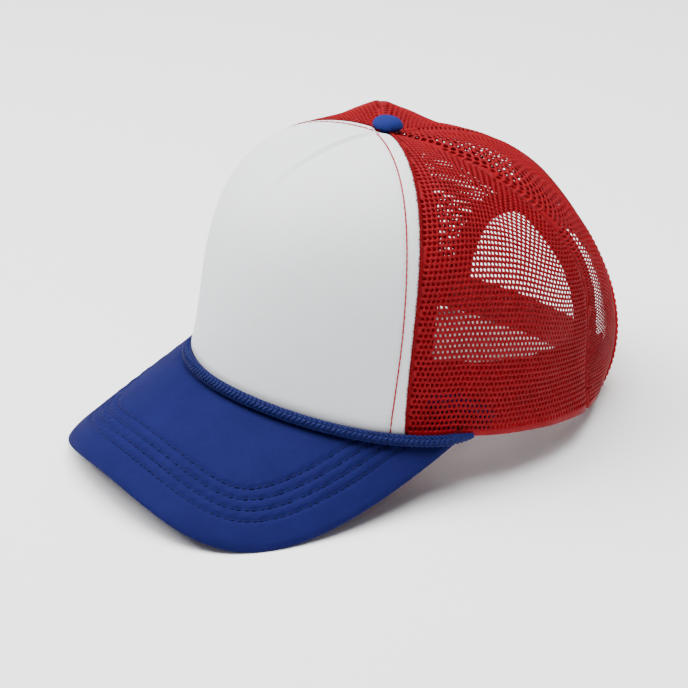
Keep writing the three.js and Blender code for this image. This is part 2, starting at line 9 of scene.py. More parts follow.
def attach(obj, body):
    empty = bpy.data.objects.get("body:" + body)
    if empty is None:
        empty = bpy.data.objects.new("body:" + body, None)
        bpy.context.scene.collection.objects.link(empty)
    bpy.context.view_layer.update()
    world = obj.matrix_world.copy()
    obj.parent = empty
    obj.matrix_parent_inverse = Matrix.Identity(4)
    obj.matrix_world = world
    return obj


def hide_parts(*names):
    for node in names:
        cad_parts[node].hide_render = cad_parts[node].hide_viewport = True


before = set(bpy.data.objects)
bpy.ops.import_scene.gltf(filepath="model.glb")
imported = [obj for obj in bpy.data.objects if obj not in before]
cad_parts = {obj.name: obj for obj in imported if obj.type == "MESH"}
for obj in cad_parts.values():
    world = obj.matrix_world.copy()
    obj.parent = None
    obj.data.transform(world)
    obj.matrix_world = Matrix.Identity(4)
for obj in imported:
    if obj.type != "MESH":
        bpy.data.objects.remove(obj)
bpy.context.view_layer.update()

# Camera, where the photograph was taken from
view = {
    "position": (0.61106, -0.42663, 0.41084),
    "aim": (0.00381, -0.00376, 0.03846),
    "roll": -2.071,
    "lens": 97.48,
}
lens = bpy.data.cameras.new("camera")
lens.lens = view["lens"]
lens.sensor_width = 36
lens.clip_start = 0.01
camera = bpy.data.objects.new("camera", lens)
bpy.context.scene.collection.objects.link(camera)
camera.location = view["position"]
towards = Vector(view["aim"]) - Vector(view["position"])
camera.rotation_mode = "QUATERNION"
roll = Quaternion((0, 0, 1), math.radians(view["roll"]))
camera.rotation_quaternion = towards.to_track_quat("-Z", "Y") @ roll
bpy.context.scene.camera = camera
print("camera set")

# Floor and soft studio light
studio = {
    "floorSize": 6,
    "floorColor": (0.97, 0.975, 0.98, 1),
    "worldColor": (1, 1, 1, 1),
    "worldStrength": 0.24,
    "key": {"place": (-0.8, -0.7, 1.5), "size": 1.3, "power": 50},
    "side": {"place": (1.5, -0.4, 0.8), "size": 1.2, "power": 1},
    "top": {"place": (0.1, 0.1, 1.9), "size": 1.6, "power": 74},
}


def softLight(name, place, size, power):
    lamp = bpy.data.lights.new(name, "AREA")
    lamp.energy = power
    lamp.size = size
    lamp.shape = "DISK"
    lampObject = bpy.data.objects.new(name, lamp)
    bpy.context.scene.collection.objects.link(lampObject)
    lampObject.location = place
    lampObject.rotation_mode = "QUATERNION"
    lampObject.rotation_quaternion = (Vector((0, 0, 0.06)) - Vector(place)).to_track_quat("-Z", "Y")


for lampName in ("key", "side", "top"):
    softLight(lampName, **studio[lampName])
world = bpy.data.worlds.new("studio")
bpy.context.scene.world = world
world.use_nodes = True
world.node_tree.nodes["Background"].inputs["Color"].default_value = studio["worldColor"]
world.node_tree.nodes["Background"].inputs["Strength"].default_value = studio["worldStrength"]


# Shader maths: a wire is one output socket, and an expression on wires adds Math nodes
class Wire:
    def __init__(self, finish, socket):
        self.finish = finish
        self.socket = socket

    def math(self, operation, *values):
        return self.finish.node("ShaderNodeMath", {"operation": operation}, dict(enumerate(values)))

    def __add__(self, other):
        return self.math("ADD", self, other)

    def __sub__(self, other):
        return self.math("SUBTRACT", self, other)

    def __mul__(self, other):
        return self.math("MULTIPLY", self, other)

    def __truediv__(self, other):
        return self.math("DIVIDE", self, other)

    def __radd__(self, other):
        return self.math("ADD", other, self)

    def __rsub__(self, other):
        return self.math("SUBTRACT", other, self)

    def __rmul__(self, other):
        return self.math("MULTIPLY", other, self)

    def sine(self):
        return self.math("SINE", self)

    def clamped(self):
        return self.math("MAXIMUM", self.math("MINIMUM", self, 1.0), 0.0)


class Finish:
    def __init__(self, name, slotName):
        self.material = bpy.data.materials.new(name)
        self.material.use_nodes = True
        self.tree = self.material.node_tree
        self.shader = self.tree.nodes["Principled BSDF"]
        self.slotName = slotName
        self.place = self.node("ShaderNodeNewGeometry", {}, {})

    def join(self, socket, value):
        if isinstance(value, Wire):
            self.tree.links.new(value.socket, socket)
        else:
            socket.default_value = value

    def node(self, kind, settings, inputs, output=0):
        made = self.tree.nodes.new(kind)
        for key, value in settings.items():
            setattr(made, key, value)
        for key, value in inputs.items():
            self.join(made.inputs[key], value)
        return Wire(self, made.outputs[output])

    def mix(self, share, first, second):
        return self.node("ShaderNodeMix", {"data_type": "RGBA"}, {0: share, 6: first, 7: second}, 2)

    def noise(self, scale, detail=3.0, rough=0.55):
        values = {"Vector": self.place, "Scale": scale, "Detail": detail, "Roughness": rough}
        return self.node("ShaderNodeTexNoise", {}, values)

    def cloth(self):
        return self.node("ShaderNodeAttribute", {"attribute_name": "cloth"}, {}, 1)

    def apart(self, vector):
        parts = self.node("ShaderNodeSeparateXYZ", {}, {0: vector}).socket.node.outputs
        return Wire(self, parts[0]), Wire(self, parts[1])

    def bump(self, height, distance, strength):
        return self.node("ShaderNodeBump", {}, {"Strength": strength, "Distance": distance, "Height": height})

    def surface(self, **values):
        for key, value in values.items():
            self.join(self.shader.inputs[key.replace("_", " ")], value)

    def coat(self, share, look, rough, lift):
        color = self.mix(share.clamped(), (*look["light"], 1), (*look["dark"], 1))
        self.surface(Base_Color=color, Roughness=rough, Normal=lift, Specular_IOR_Level=look["specular"])
        return self


# Weave, seen as two crossing sets of rounded yarns, from lengths on the cloth in millimetres
def weave(finish, pitch, slant=0.0):
    across, down = finish.apart(finish.cloth())
    turn = math.tau / pitch
    warp = ((across + down * slant) * turn).sine()
    weft = ((down - across * slant) * turn).sine()
    return warp, weft, warp * weft


def foamFinish(name, slotName, look):
    finish = Finish(name, slotName)
    grain = finish.noise(look["grain"], 2.0, look["grainRough"])
    patch = finish.noise(look["patch"]) - 0.5
    share = (grain - 0.5) * look["grainShare"] + patch * look["patchShare"] + look["middle"]
    lift = finish.bump(grain, look["lift"], look["liftShare"])
    return finish.coat(share, look, look["rough"] + patch * look["roughShare"], lift)


def netFinish(look):
    finish = Finish("net red", "net")
    knit = weave(finish, look["yarn"], look["slant"])[2]
    patch = finish.noise(look["patch"]) - 0.5
    share = patch * 0.9 + knit * 0.16 + 0.42
    return finish.coat(share, look, 0.5 + patch * 0.25, finish.bump(knit, 0.00006, 0.7))


def clothFinish(name, look):
    finish = Finish(name, look["slot"])
    warp, weft, _ = weave(finish, look["pitch"], look["slant"])
    patch = finish.noise(110, 4.0) - 0.5
    fine = finish.noise(2600, 2.0) - 0.5
    share = patch * 0.7 + fine * 0.4 + warp * 0.12 + 0.42
    lift = finish.bump(warp * 0.6 + weft * 0.4, look["depth"], 0.8)
    return finish.coat(share, look, 0.8 + patch * 0.15, lift)


# The turned edge is blue along its top. Below that, painted shade darkens its colour to near-black
def turnedShadedFinish(look):
    finish = Finish("turned edge blue with painted shade", "bill_cloth")
    down = finish.apart(finish.cloth())[1]
    knit = weave(finish, look["pitch"])[2]
    patch = finish.noise(110) - 0.5
    # painted shade: past the blue top band the colour runs to the near-black dark colour
    share = (down - look["unshadedWidth"]) / look["shadeFade"] + patch * 0.5 + knit * 0.05
    return finish.coat(share, look, 0.85 + patch * 0.1, finish.bump(knit, 0.00008, 0.7))


def yarnFinish(name, look):
    finish = Finish(name, look["slot"])
    across, along = finish.apart(finish.cloth())
    fibre = (along * (math.tau / look["turns"]) + across * 5.0).sine()
    patch = finish.noise(400) - 0.5
    share = patch * 0.8 + fibre * 0.28 + 0.45
    return finish.coat(share, look, look["rough"] + patch * 0.2, finish.bump(fibre, 0.00006, 0.8))


def plasticFinish(look):
    finish = Finish("plastic red", "strap")
    patch = finish.noise(60) - 0.5
    pits = finish.noise(1800, 2.0)
    return finish.coat(patch + 0.4, look, 0.34 + (pits - 0.5) * 0.2, finish.bump(pits, 0.00003, 0.5))


foamWhite = foamFinish("foam white", "front_foam", {
    "light": (0.755, 0.77, 0.79), "dark": (0.67, 0.685, 0.71), "specular": 0.15,
    "grain": 1500, "grainRough": 0.6, "grainShare": 0.9, "patch": 70, "patchShare": 0.5, "middle": 0.25,
    "rough": 0.86, "roughShare": 0.1, "lift": 0.00018, "liftShare": 0.5,
})
billBlue = foamFinish("foam blue", "bill_cloth", {
    "light": (0.0076, 0.0090, 0.082), "dark": (0.0034, 0.0040, 0.042), "specular": 0.07,
    "grain": 2300, "grainRough": 0.65, "grainShare": 1.3, "patch": 55, "patchShare": 0.6, "middle": 0.38,
    "rough": 0.8, "roughShare": 0.12, "lift": 0.0002, "liftShare": 0.55,
})
netRed = netFinish({
    "light": (0.255, 0.001, 0.006), "dark": (0.158, 0.001, 0.004), "specular": 0.12,
    "yarn": 0.42, "slant": 0.35, "patch": 90,
})
bandRed = clothFinish("band red", {
    "light": (0.43, 0.001, 0.008), "dark": (0.30, 0.001, 0.006), "specular": 0.1,
    "slot": "band_cloth", "pitch": 0.55, "slant": 0.0, "depth": 0.00009,
})
tapeRed = clothFinish("tape red", {
    "light": (0.40, 0.001, 0.008), "dark": (0.28, 0.001, 0.006), "specular": 0.1,
    "slot": "band_cloth", "pitch": 0.7, "slant": 0.9, "depth": 0.0001,
})
clothBlue = clothFinish("cloth blue", {
    "light": (0.016, 0.026, 0.17), "dark": (0.009, 0.015, 0.11), "specular": 0.1,
    "slot": "bill_cloth", "pitch": 0.5, "slant": 0.0, "depth": 0.0001,
})
# its dark colour is painted shade, near-black below the blue top band
turnedBluePaintedShade = turnedShadedFinish({
    "light": (0.012, 0.016, 0.12), "dark": (0.0015, 0.0016, 0.006), "specular": 0.08,
    "pitch": 0.5, "unshadedWidth": 4.5, "shadeFade": 3.5,
})
ropeBlue = yarnFinish("rope blue", {
    "light": (0.005, 0.009, 0.096), "dark": (0.002, 0.003, 0.040), "specular": 0.14,
    "slot": "rope", "turns": 0.9, "rough": 0.65,
})
threadBlue = yarnFinish("thread blue", {
    "light": (0.005, 0.008, 0.070), "dark": (0.003, 0.005, 0.045), "specular": 0.14,
    "slot": "bill_cloth", "turns": 0.5, "rough": 0.65,
})
threadRed = yarnFinish("thread red", {
    "light": (0.42, 0.008, 0.024), "dark": (0.30, 0.004, 0.012), "specular": 0.14,
    "slot": "net", "turns": 0.5, "rough": 0.6,
})
plasticRed = plasticFinish({"light": (0.34, 0.002, 0.009), "dark": (0.27, 0.002, 0.006), "specular": 0.4})
print("finishes made")

# The crown, worked out with the rim level, in millimetres and degrees round the head from the front
crown = {
    "halfWidth": 91, "front": 105, "back": 89, "roundness": 1.93, "height": 110.5,
    "topForward": 31.5, "backHeight": -4.6, "sideRise": 3.8, "topHole": 4.6,
    "seamGap": 0.5, "clearance": 0.3, "layer": 0.68,
    "tilt": 11.445, "floor": -16.6422, "middle": -34.5978,
}
seams = {  # angle at the rim, then how it leans and bends on the way up
    "front": (51.3, -6.8, 7.4), "side": (115.2, -3.3, -10.6), "back": (180, 0, 0), "crease": (0, 0, 0),
}
profiles = np.array([  # angle, squareness near the top and near the rim, bulge
    (-146, 3.15, 1.65, 0.027), (-112, 2.8, 3.35, -0.005), (-80, 2.4, 3.2, -0.01),
    (-52, 2.38, 3.74, -0.04), (-26, 2.6, 4.03, -0.011), (0, 1.45, 5, 0.01),
    (52, 2.55, 3.95, -0.02), (80, 2.15, 2.9, -0.01), (112, 1.34, 3.66, -0.056),
    (146, 3.25, 1.76, 0.073), (180, 3.35, 2.2, 0.027),
])
ridges = [  # seam, side, lift, spread, crest
    ("side", -1, 0.062, 22, 0.35), ("side", 1, 0.034, 22, 0.35), ("crease", 1, 0.013, 7, 0.24),
]
brim = {
    "bend": 116, "drop": 33, "root": 2.2, "length": 62.4, "cornerAcross": 95.4, "cornerBack": 52.9,
    "sideHandle": 112, "frontHandle": 64.6, "thick": 5.2, "lipDrop": 1.8, "lip": 5, "tuck": 6.6,
    "cornerAngle": 63.9,
}


def smooth(share):
    held = np.clip(share, 0, 1)
    return held * held * (3 - 2 * held)


def wrap(angle):
    return (np.asarray(angle, float) + 180) % 360 - 180


def rimPlan(angle):
    a = np.radians(angle)
    length = np.where(np.cos(a) > 0, crown["front"], crown["back"])
    power = crown["roundness"]
    crosswise = np.abs(np.sin(a) / crown["halfWidth"]) ** power
    radius = (crosswise + np.abs(np.cos(a) / length) ** power) ** (-1 / power)
    return radius * np.sin(a), -radius * np.cos(a)


def brimPoint(across, forward, lift=0.0):
    turn = np.asarray(across, float) / brim["bend"]
    slope = math.radians(brim["drop"])
    fall = brim["bend"] - (brim["bend"] + lift) * np.cos(turn)
    x = (brim["bend"] + lift) * np.sin(turn)
    y = -crown["front"] - forward * math.cos(slope) + fall * math.sin(slope)
    z = brim["root"] - forward * math.sin(slope) - fall * math.cos(slope)
    return np.stack(np.broadcast_arrays(x, y, z), -1)


def brimPlace(x, y):
    turn = np.arcsin(np.clip(x / brim["bend"], -1, 1))
    sag = brim["bend"] * (1 - np.cos(turn))
    slope = math.radians(brim["drop"])
    return brim["bend"] * turn, (-crown["front"] - y + sag * math.sin(slope)) / math.cos(slope)


def rimHeight(angle):
    turned = np.abs(wrap(angle))
    onBrim = brimPoint(*brimPlace(*rimPlan(np.minimum(turned, brim["cornerAngle"]))))[..., 2]
    share = np.clip((turned - brim["cornerAngle"]) / (180 - brim["cornerAngle"]), 0, 1)
    wave = crown["sideRise"] * 16 * share ** 2 * (1 - share) ** 2
    return onBrim + (crown["backHeight"] - onBrim) * smooth(share) + wave


def profileAt(angle):
    rows = np.vstack([profiles - (360, 0, 0, 0), profiles, profiles + (360, 0, 0, 0)])
    slope = (rows[2:, 1:] - rows[:-2, 1:]) / (rows[2:, :1] - rows[:-2, :1])
    turned = wrap(angle)
    first = np.searchsorted(rows[:, 0], turned, side="right") - 1
    step = rows[first + 1, 0] - rows[first, 0]
    t = ((turned - rows[first, 0]) / step)[..., None]
    step = step[..., None]
    return (
        (2 * t ** 3 - 3 * t ** 2 + 1) * rows[first, 1:] + (t ** 3 - 2 * t ** 2 + t) * slope[first - 1] * step
        + (3 * t ** 2 - 2 * t ** 3) * rows[first + 1, 1:] + (t ** 3 - t ** 2) * slope[first] * step
    )


def seamAngle(name, share):
    rim, lean, bend = seams[name]
    return rim + lean * (1 - share) + bend * (1 - share) ** 2


def ridgeLift(angle, share):
    lift = 0
    for name, side, height, spread, crest in ridges:
        away = np.abs(wrap(angle - side * seamAngle(name, share)))
        along = np.maximum(share - 0.07, 0) / (crest - 0.07)
        rise = along ** 1.5 * np.exp(1.5 * (1 - along)) * (1 - share) / (1 - crest)
        lift = lift + height * crown["height"] * rise * np.exp(-away / spread)
    return lift


# A point of the crown: how far round, and how far down from 0 at the button to 1 at the rim
def crownSurface(angle, share):
    angle, t = np.broadcast_arrays(np.asarray(angle, float), np.clip(share, 1e-6, 1))
    top, side, bulge = np.moveaxis(profileAt(angle), -1, 0)
    total = t ** top + (1 - t) ** side
    outward = t / total ** (1 / top)
    upward = (1 - t) / total ** (1 / side)
    swell = 1 + 6.75 * bulge * upward * (1 - upward) ** 2
    x, y = rimPlan(angle)
    base = rimHeight(angle)
    point = np.stack([
        x * outward * swell,
        y * outward * swell - crown["topForward"] * (1 - outward),
        base + (crown["height"] - base) * upward,
    ], -1)
    away = point - np.array([0, -crown["topForward"] / 2, crown["height"] * 0.3])
    away /= np.linalg.norm(away, axis=-1, keepdims=True)
    return point + away * ridgeLift(angle, t)[..., None]


def unit(vectors):
    return vectors / np.maximum(np.linalg.norm(vectors, axis=-1, keepdims=True), 1e-12)


def crownFrame(angle, share):
    t = np.clip(share, 0.004, 0.996)
    around = crownSurface(angle + 2, t) - crownSurface(angle - 2, t)
    down = crownSurface(angle, t + 0.004) - crownSurface(angle, t - 0.004)
    return around, down, unit(np.cross(down, around))


def crownPoint(angle, share, depth):
    normal = crownFrame(angle, share)[2]
    return crownSurface(angle, share) - normal * np.asarray(depth, float)[..., None]


def perDegree(angle, share):
    return np.linalg.norm(crownFrame(angle, share)[0], axis=-1) / 4


def shareAtHeight(angle, height):
    low, high = np.zeros_like(angle * 1.0), np.ones_like(angle * 1.0)
    base = rimHeight(angle)
    for _ in range(30):
        half = (low + high) / 2
        above = crownSurface(angle, half)[..., 2] - base > height
        low, high = np.where(above, half, low), np.where(above, high, half)
    return high


def hemShare(angle, depth):
    slope = math.radians(brim["drop"])
    up = np.array([0, -math.sin(slope), math.cos(slope)])
    bendMiddle = np.array([0, -crown["front"], brim["root"]]) - up * brim["bend"]
    low, high = np.full_like(angle * 1.0, 0.7), np.ones_like(angle * 1.0)
    for _ in range(24):
        half = (low + high) / 2
        point = crownPoint(angle, half, depth)
        over = np.hypot(point[..., 0], (point - bendMiddle) @ up) - brim["bend"] > crown["clearance"]
        low, high = np.where(over, half, low), np.where(over, high, half)
    past = smooth((np.abs(wrap(angle)) - brim["cornerAngle"] - 0.5) / 3)
    return low + (1 - low) * past


def topShare(angle, radius):
    x, y = rimPlan(angle)
    return radius / np.hypot(x, y + crown["topForward"])


tiltTurn = -math.radians(crown["tilt"])


def settle(points):  # from the level rim to where the cap rests, in metres
    x, y, z = np.moveaxis(points, -1, 0)
    restY = y * math.cos(tiltTurn) - z * math.sin(tiltTurn) - crown["middle"]
    restZ = y * math.sin(tiltTurn) + z * math.cos(tiltTurn) - crown["floor"]
    return np.stack([x, restY, np.maximum(restZ, 0)], -1) / 1000


# Making pieces
def addPiece(name, points, faces, finish, cloth, nodes=()):
    mesh = bpy.data.meshes.new(name)
    mesh.from_pydata(np.asarray(points, float).tolist(), [], [list(map(int, face)) for face in faces])
    layer = mesh.attributes.new("cloth", "FLOAT_VECTOR", "POINT")
    layer.data.foreach_set("vector", np.asarray(cloth, np.float32).ravel())
    mesh.validate()
    mesh.polygons.foreach_set("use_smooth", [True] * len(mesh.polygons))
    mesh.materials.append(finish.material)
    piece = bpy.data.objects.new(name, mesh)
    bpy.context.scene.collection.objects.link(piece)
    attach(piece, "root")
    if nodes:
        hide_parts(*nodes)
    return piece


def gridFaces(rows, columns, start=0, closed=False):
    r, c = np.meshgrid(np.arange(rows - 1), np.arange(columns if closed else columns - 1), indexing="ij")
    after = (c + 1) % columns
    here, below = r * columns, (r + 1) * columns
    faces = np.stack([here + c, here + after, below + after, below + c], -1)
    return (faces.reshape(-1, 4) + start).tolist()


def ringSolid(rows, columns, start=0):  # rings of points joined into a tube, with both ends closed
    last = start + (rows - 1) * columns
    ends = [list(range(start, start + columns))[::-1], list(range(last, last + columns))]
    return gridFaces(rows, columns, start, closed=True) + ends


def lengthAlong(line, axis=0):
    return np.insert(np.linalg.norm(np.diff(line, axis=axis), axis=-1).cumsum(axis), 0, 0, axis=axis)


def pickAt(places, lengths, values):
    return np.stack([np.interp(places, lengths, values[:, i]) for i in range(3)], -1)


def lengthsOver(grid):
    across, down = lengthAlong(grid, 1), lengthAlong(grid)
    across = across - across[:, across.shape[1] // 2][:, None]
    return np.stack([across, down, np.zeros_like(down)], -1)


# Two matching grids, closed round their edges into one thin solid
def addShell(name, outer, inner, finish, nodes=()):
    rows, columns = outer.shape[:2]
    count = rows * columns
    faces = gridFaces(rows, columns)
    faces += [face[::-1] for face in gridFaces(rows, columns, count)]
    rim = list(range(columns))
    rim += [r * columns + columns - 1 for r in range(1, rows)]
    rim += [(rows - 1) * columns + c for c in range(columns - 2, -1, -1)]
    rim += [r * columns for r in range(rows - 2, 0, -1)]
    for here, there in zip(rim, rim[1:] + rim[:1]):
        faces.append([there, here, here + count, there + count])
    cloth = lengthsOver(outer).reshape(-1, 3)
    points = np.concatenate([outer.reshape(-1, 3), inner.reshape(-1, 3)])
    return addPiece(name, settle(points), faces, finish, np.concatenate([cloth, cloth]), nodes)


# Works out the flat size that a sheet was cut to: its own, with what the seams take up at its sides and ends.
# The result is not kept
def sayCut(grid, seam, kept=1):
    across = np.linalg.norm(np.diff(grid, axis=1), axis=-1).sum(1).max()
    down = np.linalg.norm(np.diff(grid, axis=0), axis=-1).sum(0).max()
    diagonals = grid[1:, 1:] - grid[:-1, :-1], grid[1:, :-1] - grid[:-1, 1:]
    cells = np.linalg.norm(np.cross(*diagonals), axis=-1) / 2
    share = min((cells * kept).sum() / (across * down), 1)
    width, length = (across + 2 * seam[0]) / 1000, (down + 2 * seam[1]) / 1000
    share * width * length


# A thin strip of the crown whose thickness rounds off at its edges
def roundedStrip(angles, shares, depth, thickness, edge):
    x, y, _ = np.moveaxis(lengthsOver(crownPoint(angles, shares, np.zeros_like(angles))), -1, 0)
    fromSide = np.minimum(x - x[:, :1], x[:, -1:] - x)
    fromEnd = np.minimum(y, y[-1:] - y)
    near = np.clip(np.minimum(fromSide, fromEnd) / edge, 0, 1)
    full = np.sqrt(1 - (1 - near) ** 2)
    middle = depth + thickness / 2
    half = thickness / 2 * (0.25 + 0.75 * full)
    return crownPoint(angles, shares, middle - half), crownPoint(angles, shares, middle + half)


# Sewing thread: one short rounded stitch for each entry, sunk a little at both ends
def addStitches(name, ends, finish, thickness, sides=6):
    points, faces, cloth = [], [], []
    rings = [  # place along the stitch, width, rise
        (-0.5, 0.0, -0.9), (-0.46, 0.6, -0.55), (-0.33, 0.95, 0.0), (0, 1, 0.2),
        (0.33, 0.95, 0.0), (0.46, 0.6, -0.55), (0.5, 0.0, -0.9),
    ]
    for start, end, up in ends:
        along = end - start
        length = np.linalg.norm(along)
        along = along / length
        side = np.cross(along, up)
        side /= np.linalg.norm(side)
        up = np.cross(side, along)
        first = len(points)
        middle = (start + end) / 2
        for place, wide, rise in rings:
            for s in range(sides):
                turn = math.tau * s / sides
                offset = (side * math.cos(turn) + up * math.sin(turn)) * wide * thickness / 2
                points.append(middle + along * place * length + up * rise * thickness / 2 + offset)
                cloth.append((s * thickness / 2, place * length, 0))
        faces += gridFaces(len(rings), sides, first, closed=True)
    addPiece(name, settle(np.array(points)), faces, finish, np.array(cloth))


def alongCurve(points, normals, stitch, gap):
    lengths = lengthAlong(points)
    count = max(int(lengths[-1] / (stitch + gap)), 1)
    step = lengths[-1] / count
    made = []
    for i in range(count):
        ends = i * step + gap / 2, (i + 1) * step - gap / 2
        start, end = (pickAt(place, lengths, points) for place in ends)
        made.append((start, end, unit(pickAt(sum(ends) / 2, lengths, normals))))
    return made


# Front: one piece of foam, softly creased down its middle, pinched along its seams
foam = {
    "columns": 150, "rows": 130, "crowding": 1.35, "thickness": 3.0, "seamThickness": 1.2, "pinch": 8,
    "margin": 3, "tapeHalf": 8.8, "edgeRoll": 0.5, "edgeRollWidth": 0.6,
    "creaseDip": 1.25, "creaseWidth": 2.0, "creaseAside": 2.6,
    "stitchInset": 5.8, "stitchDip": 0.42, "stitchWidth": 1.1, "stitchSunk": 0.45,
    "stitch": 3.1, "stitchGap": -0.25, "thread": 0.66,
}
fuzz = {"pitch": 1.05, "over": 0.75, "under": 1.1, "thickness": 0.42}


def stitchInset(share):  # the row wanders a little from the seam, as sewn
    low = smooth((share - 0.85) / 0.15)
    return foam["stitchInset"] - 1.1 * np.exp(-((share - 0.7) / 0.17) ** 2) + 0.6 * low


def frontFoam():
    across = np.linspace(-1, 1, foam["columns"] + 1)
    across = np.sign(across) * (1 - (1 - np.abs(across)) ** foam["crowding"])
    down = np.linspace(0, 1, foam["rows"] + 1)
    edge = seamAngle("front", down)
    edge = edge - crown["seamGap"] / 2 / perDegree(edge, down)
    angles = edge[:, None] * across[None, :]
    hem = hemShare(angles[-1], np.zeros(len(across)))
    top = topShare(angles[0], crown["topHole"])
    shares = top[None, :] + (hem - top)[None, :] * down[:, None]
    x, y, _ = np.moveaxis(lengthsOver(crownSurface(angles, shares)), -1, 0)
    fromSeam = np.minimum(x - x[:, :1], x[:, -1:] - x)
    fromHem = y[-1:] - y
    roll = foam["edgeRoll"] * np.exp(-fromSeam / foam["edgeRollWidth"])
    channel = foam["stitchDip"] * np.exp(-((fromSeam - stitchInset(shares)) / foam["stitchWidth"]) ** 2)
    crease = foam["creaseDip"] * np.exp(-((x - foam["creaseAside"]) / foam["creaseWidth"]) ** 2)
    crease *= smooth((shares - 0.05) / 0.08) * (1 - smooth((shares - 0.26) / 0.2))
    uneven = 0.12 * np.sin(x / 9 + 1.3 * np.sin(y / 17)) + 0.1 * np.sin(y / 11 + x / 23 + 1)
    hemTuck = np.exp(-fromHem / 0.9) - 0.6 * np.exp(-fromHem / 5)
    dips = roll + channel + crease + hemTuck - uneven * smooth(fromSeam / 14)
    swell = smooth((fromSeam - foam["tapeHalf"] - foam["margin"]) / foam["pinch"])
    thick = foam["seamThickness"] + (foam["thickness"] - foam["seamThickness"]) * swell
    outer, inner = crownPoint(angles, shares, dips), crownPoint(angles, shares, thick)
    piece = addShell("front_foam", outer, inner, foamWhite, ["front_panel"])


def foamStitches():
    ends = []
    for side in (-1, 1):
        shares = np.linspace(0.07, 0.995, 400)
        edge = seamAngle("front", shares)
        angles = side * (edge - stitchInset(shares) / perDegree(edge, shares))
        keep = shares < hemShare(angles, np.zeros_like(angles)) - 0.004
        angles, shares = angles[keep], shares[keep]
        normals = crownFrame(angles, shares)[2]
        line = crownSurface(angles, shares) - normals * foam["stitchDip"] * foam["stitchSunk"]
        ends += alongCurve(line, normals, foam["stitch"], foam["stitchGap"])
    addStitches("front_stitches", ends, threadRed, foam["thread"])


def seamFuzz():  # the net's cut edge: loops of yarn that reach a little over the white
    ends = []
    for side in (-1, 1):
        shares = np.linspace(0.05, 0.985, 560)
        length = lengthAlong(crownSurface(side * seamAngle("front", shares), shares))
        for i in range(int(length[-1] / fuzz["pitch"])):
            uneven = math.sin(i * 2.4) * 0.5 + math.sin(i * 0.73 + 1) * 0.5
            lifts = np.array([[0.12], [0.05 + 0.15 * abs(uneven)]])
            for step, reach in ((0.0, 1 + 0.55 * uneven), (0.5, 0.35 * (1 - uneven))):
                share = np.interp((i + step) * fuzz["pitch"], length, shares)
                edge = seamAngle("front", share)
                wide = float(perDegree(np.array(edge), np.array(share)))
                angles = side * (edge + np.array([fuzz["under"], -fuzz["over"] * reach]) / wide)
                lean = 0.002 * math.sin(i * 1.9 + step)
                both = np.clip(np.array([share + lean, share - lean]), 0, 0.995)
                normal = crownFrame(angles, both)[2]
                points = crownSurface(angles, both) + normal * lifts
                ends.append((points[0], points[1], normal[0]))
    addStitches("seam_fuzz", ends, netRed, fuzz["thickness"], 5)


frontFoam()
foamStitches()
seamFuzz()
print("front made")

# Net: a knitted lattice of rounded strands, with staggered oval holes
net = {
    "pitch": 1.95, "row": 2.38, "zigzag": 0.16, "thickness": 0.72, "holeWide": 0.46, "holeTall": 0.62,
    "ridge": 0.06, "knot": 0.05, "wobble": 0.05, "fan": 8, "seam": 6,
    "frontRoll": 0.15, "seamRoll": 1.3, "rollWidth": 1.3, "hemRoll": 0.3, "hemRollWidth": 1.2,
    "sideMargin": 0.25, "holeSide": 0.6, "endMargin": 0.3, "holeEnd": 0.9,
}
arch = {
    "halfAngle": 34.5, "share": 0.355, "squareness": 3.2, "perShare": 271.8,
    "binding": 8, "bindingThickness": 0.8, "netThickness": 1.2,
}


def netWaves(angle, share):
    low = smooth((share - 0.6) / 0.4)
    a = np.asarray(angle, float)
    soft = 0.22 * np.sin(a / 5.1 + 6 * share) + 0.16 * np.sin(a / 2.7 - 9 * share + 1)
    return soft * (0.35 + 0.65 * low) + 0.3 * low * np.sin(share * 40 + a / 7) * np.sin(a / 11)


def archReach(angle, share):  # under 1 inside the half-moon opening
    power = arch["squareness"]
    across = np.abs(wrap(angle - 180)) / arch["halfAngle"]
    up = np.maximum((1 - share) / arch["share"], 0)
    return (across ** power + up ** power) ** (1 / power)


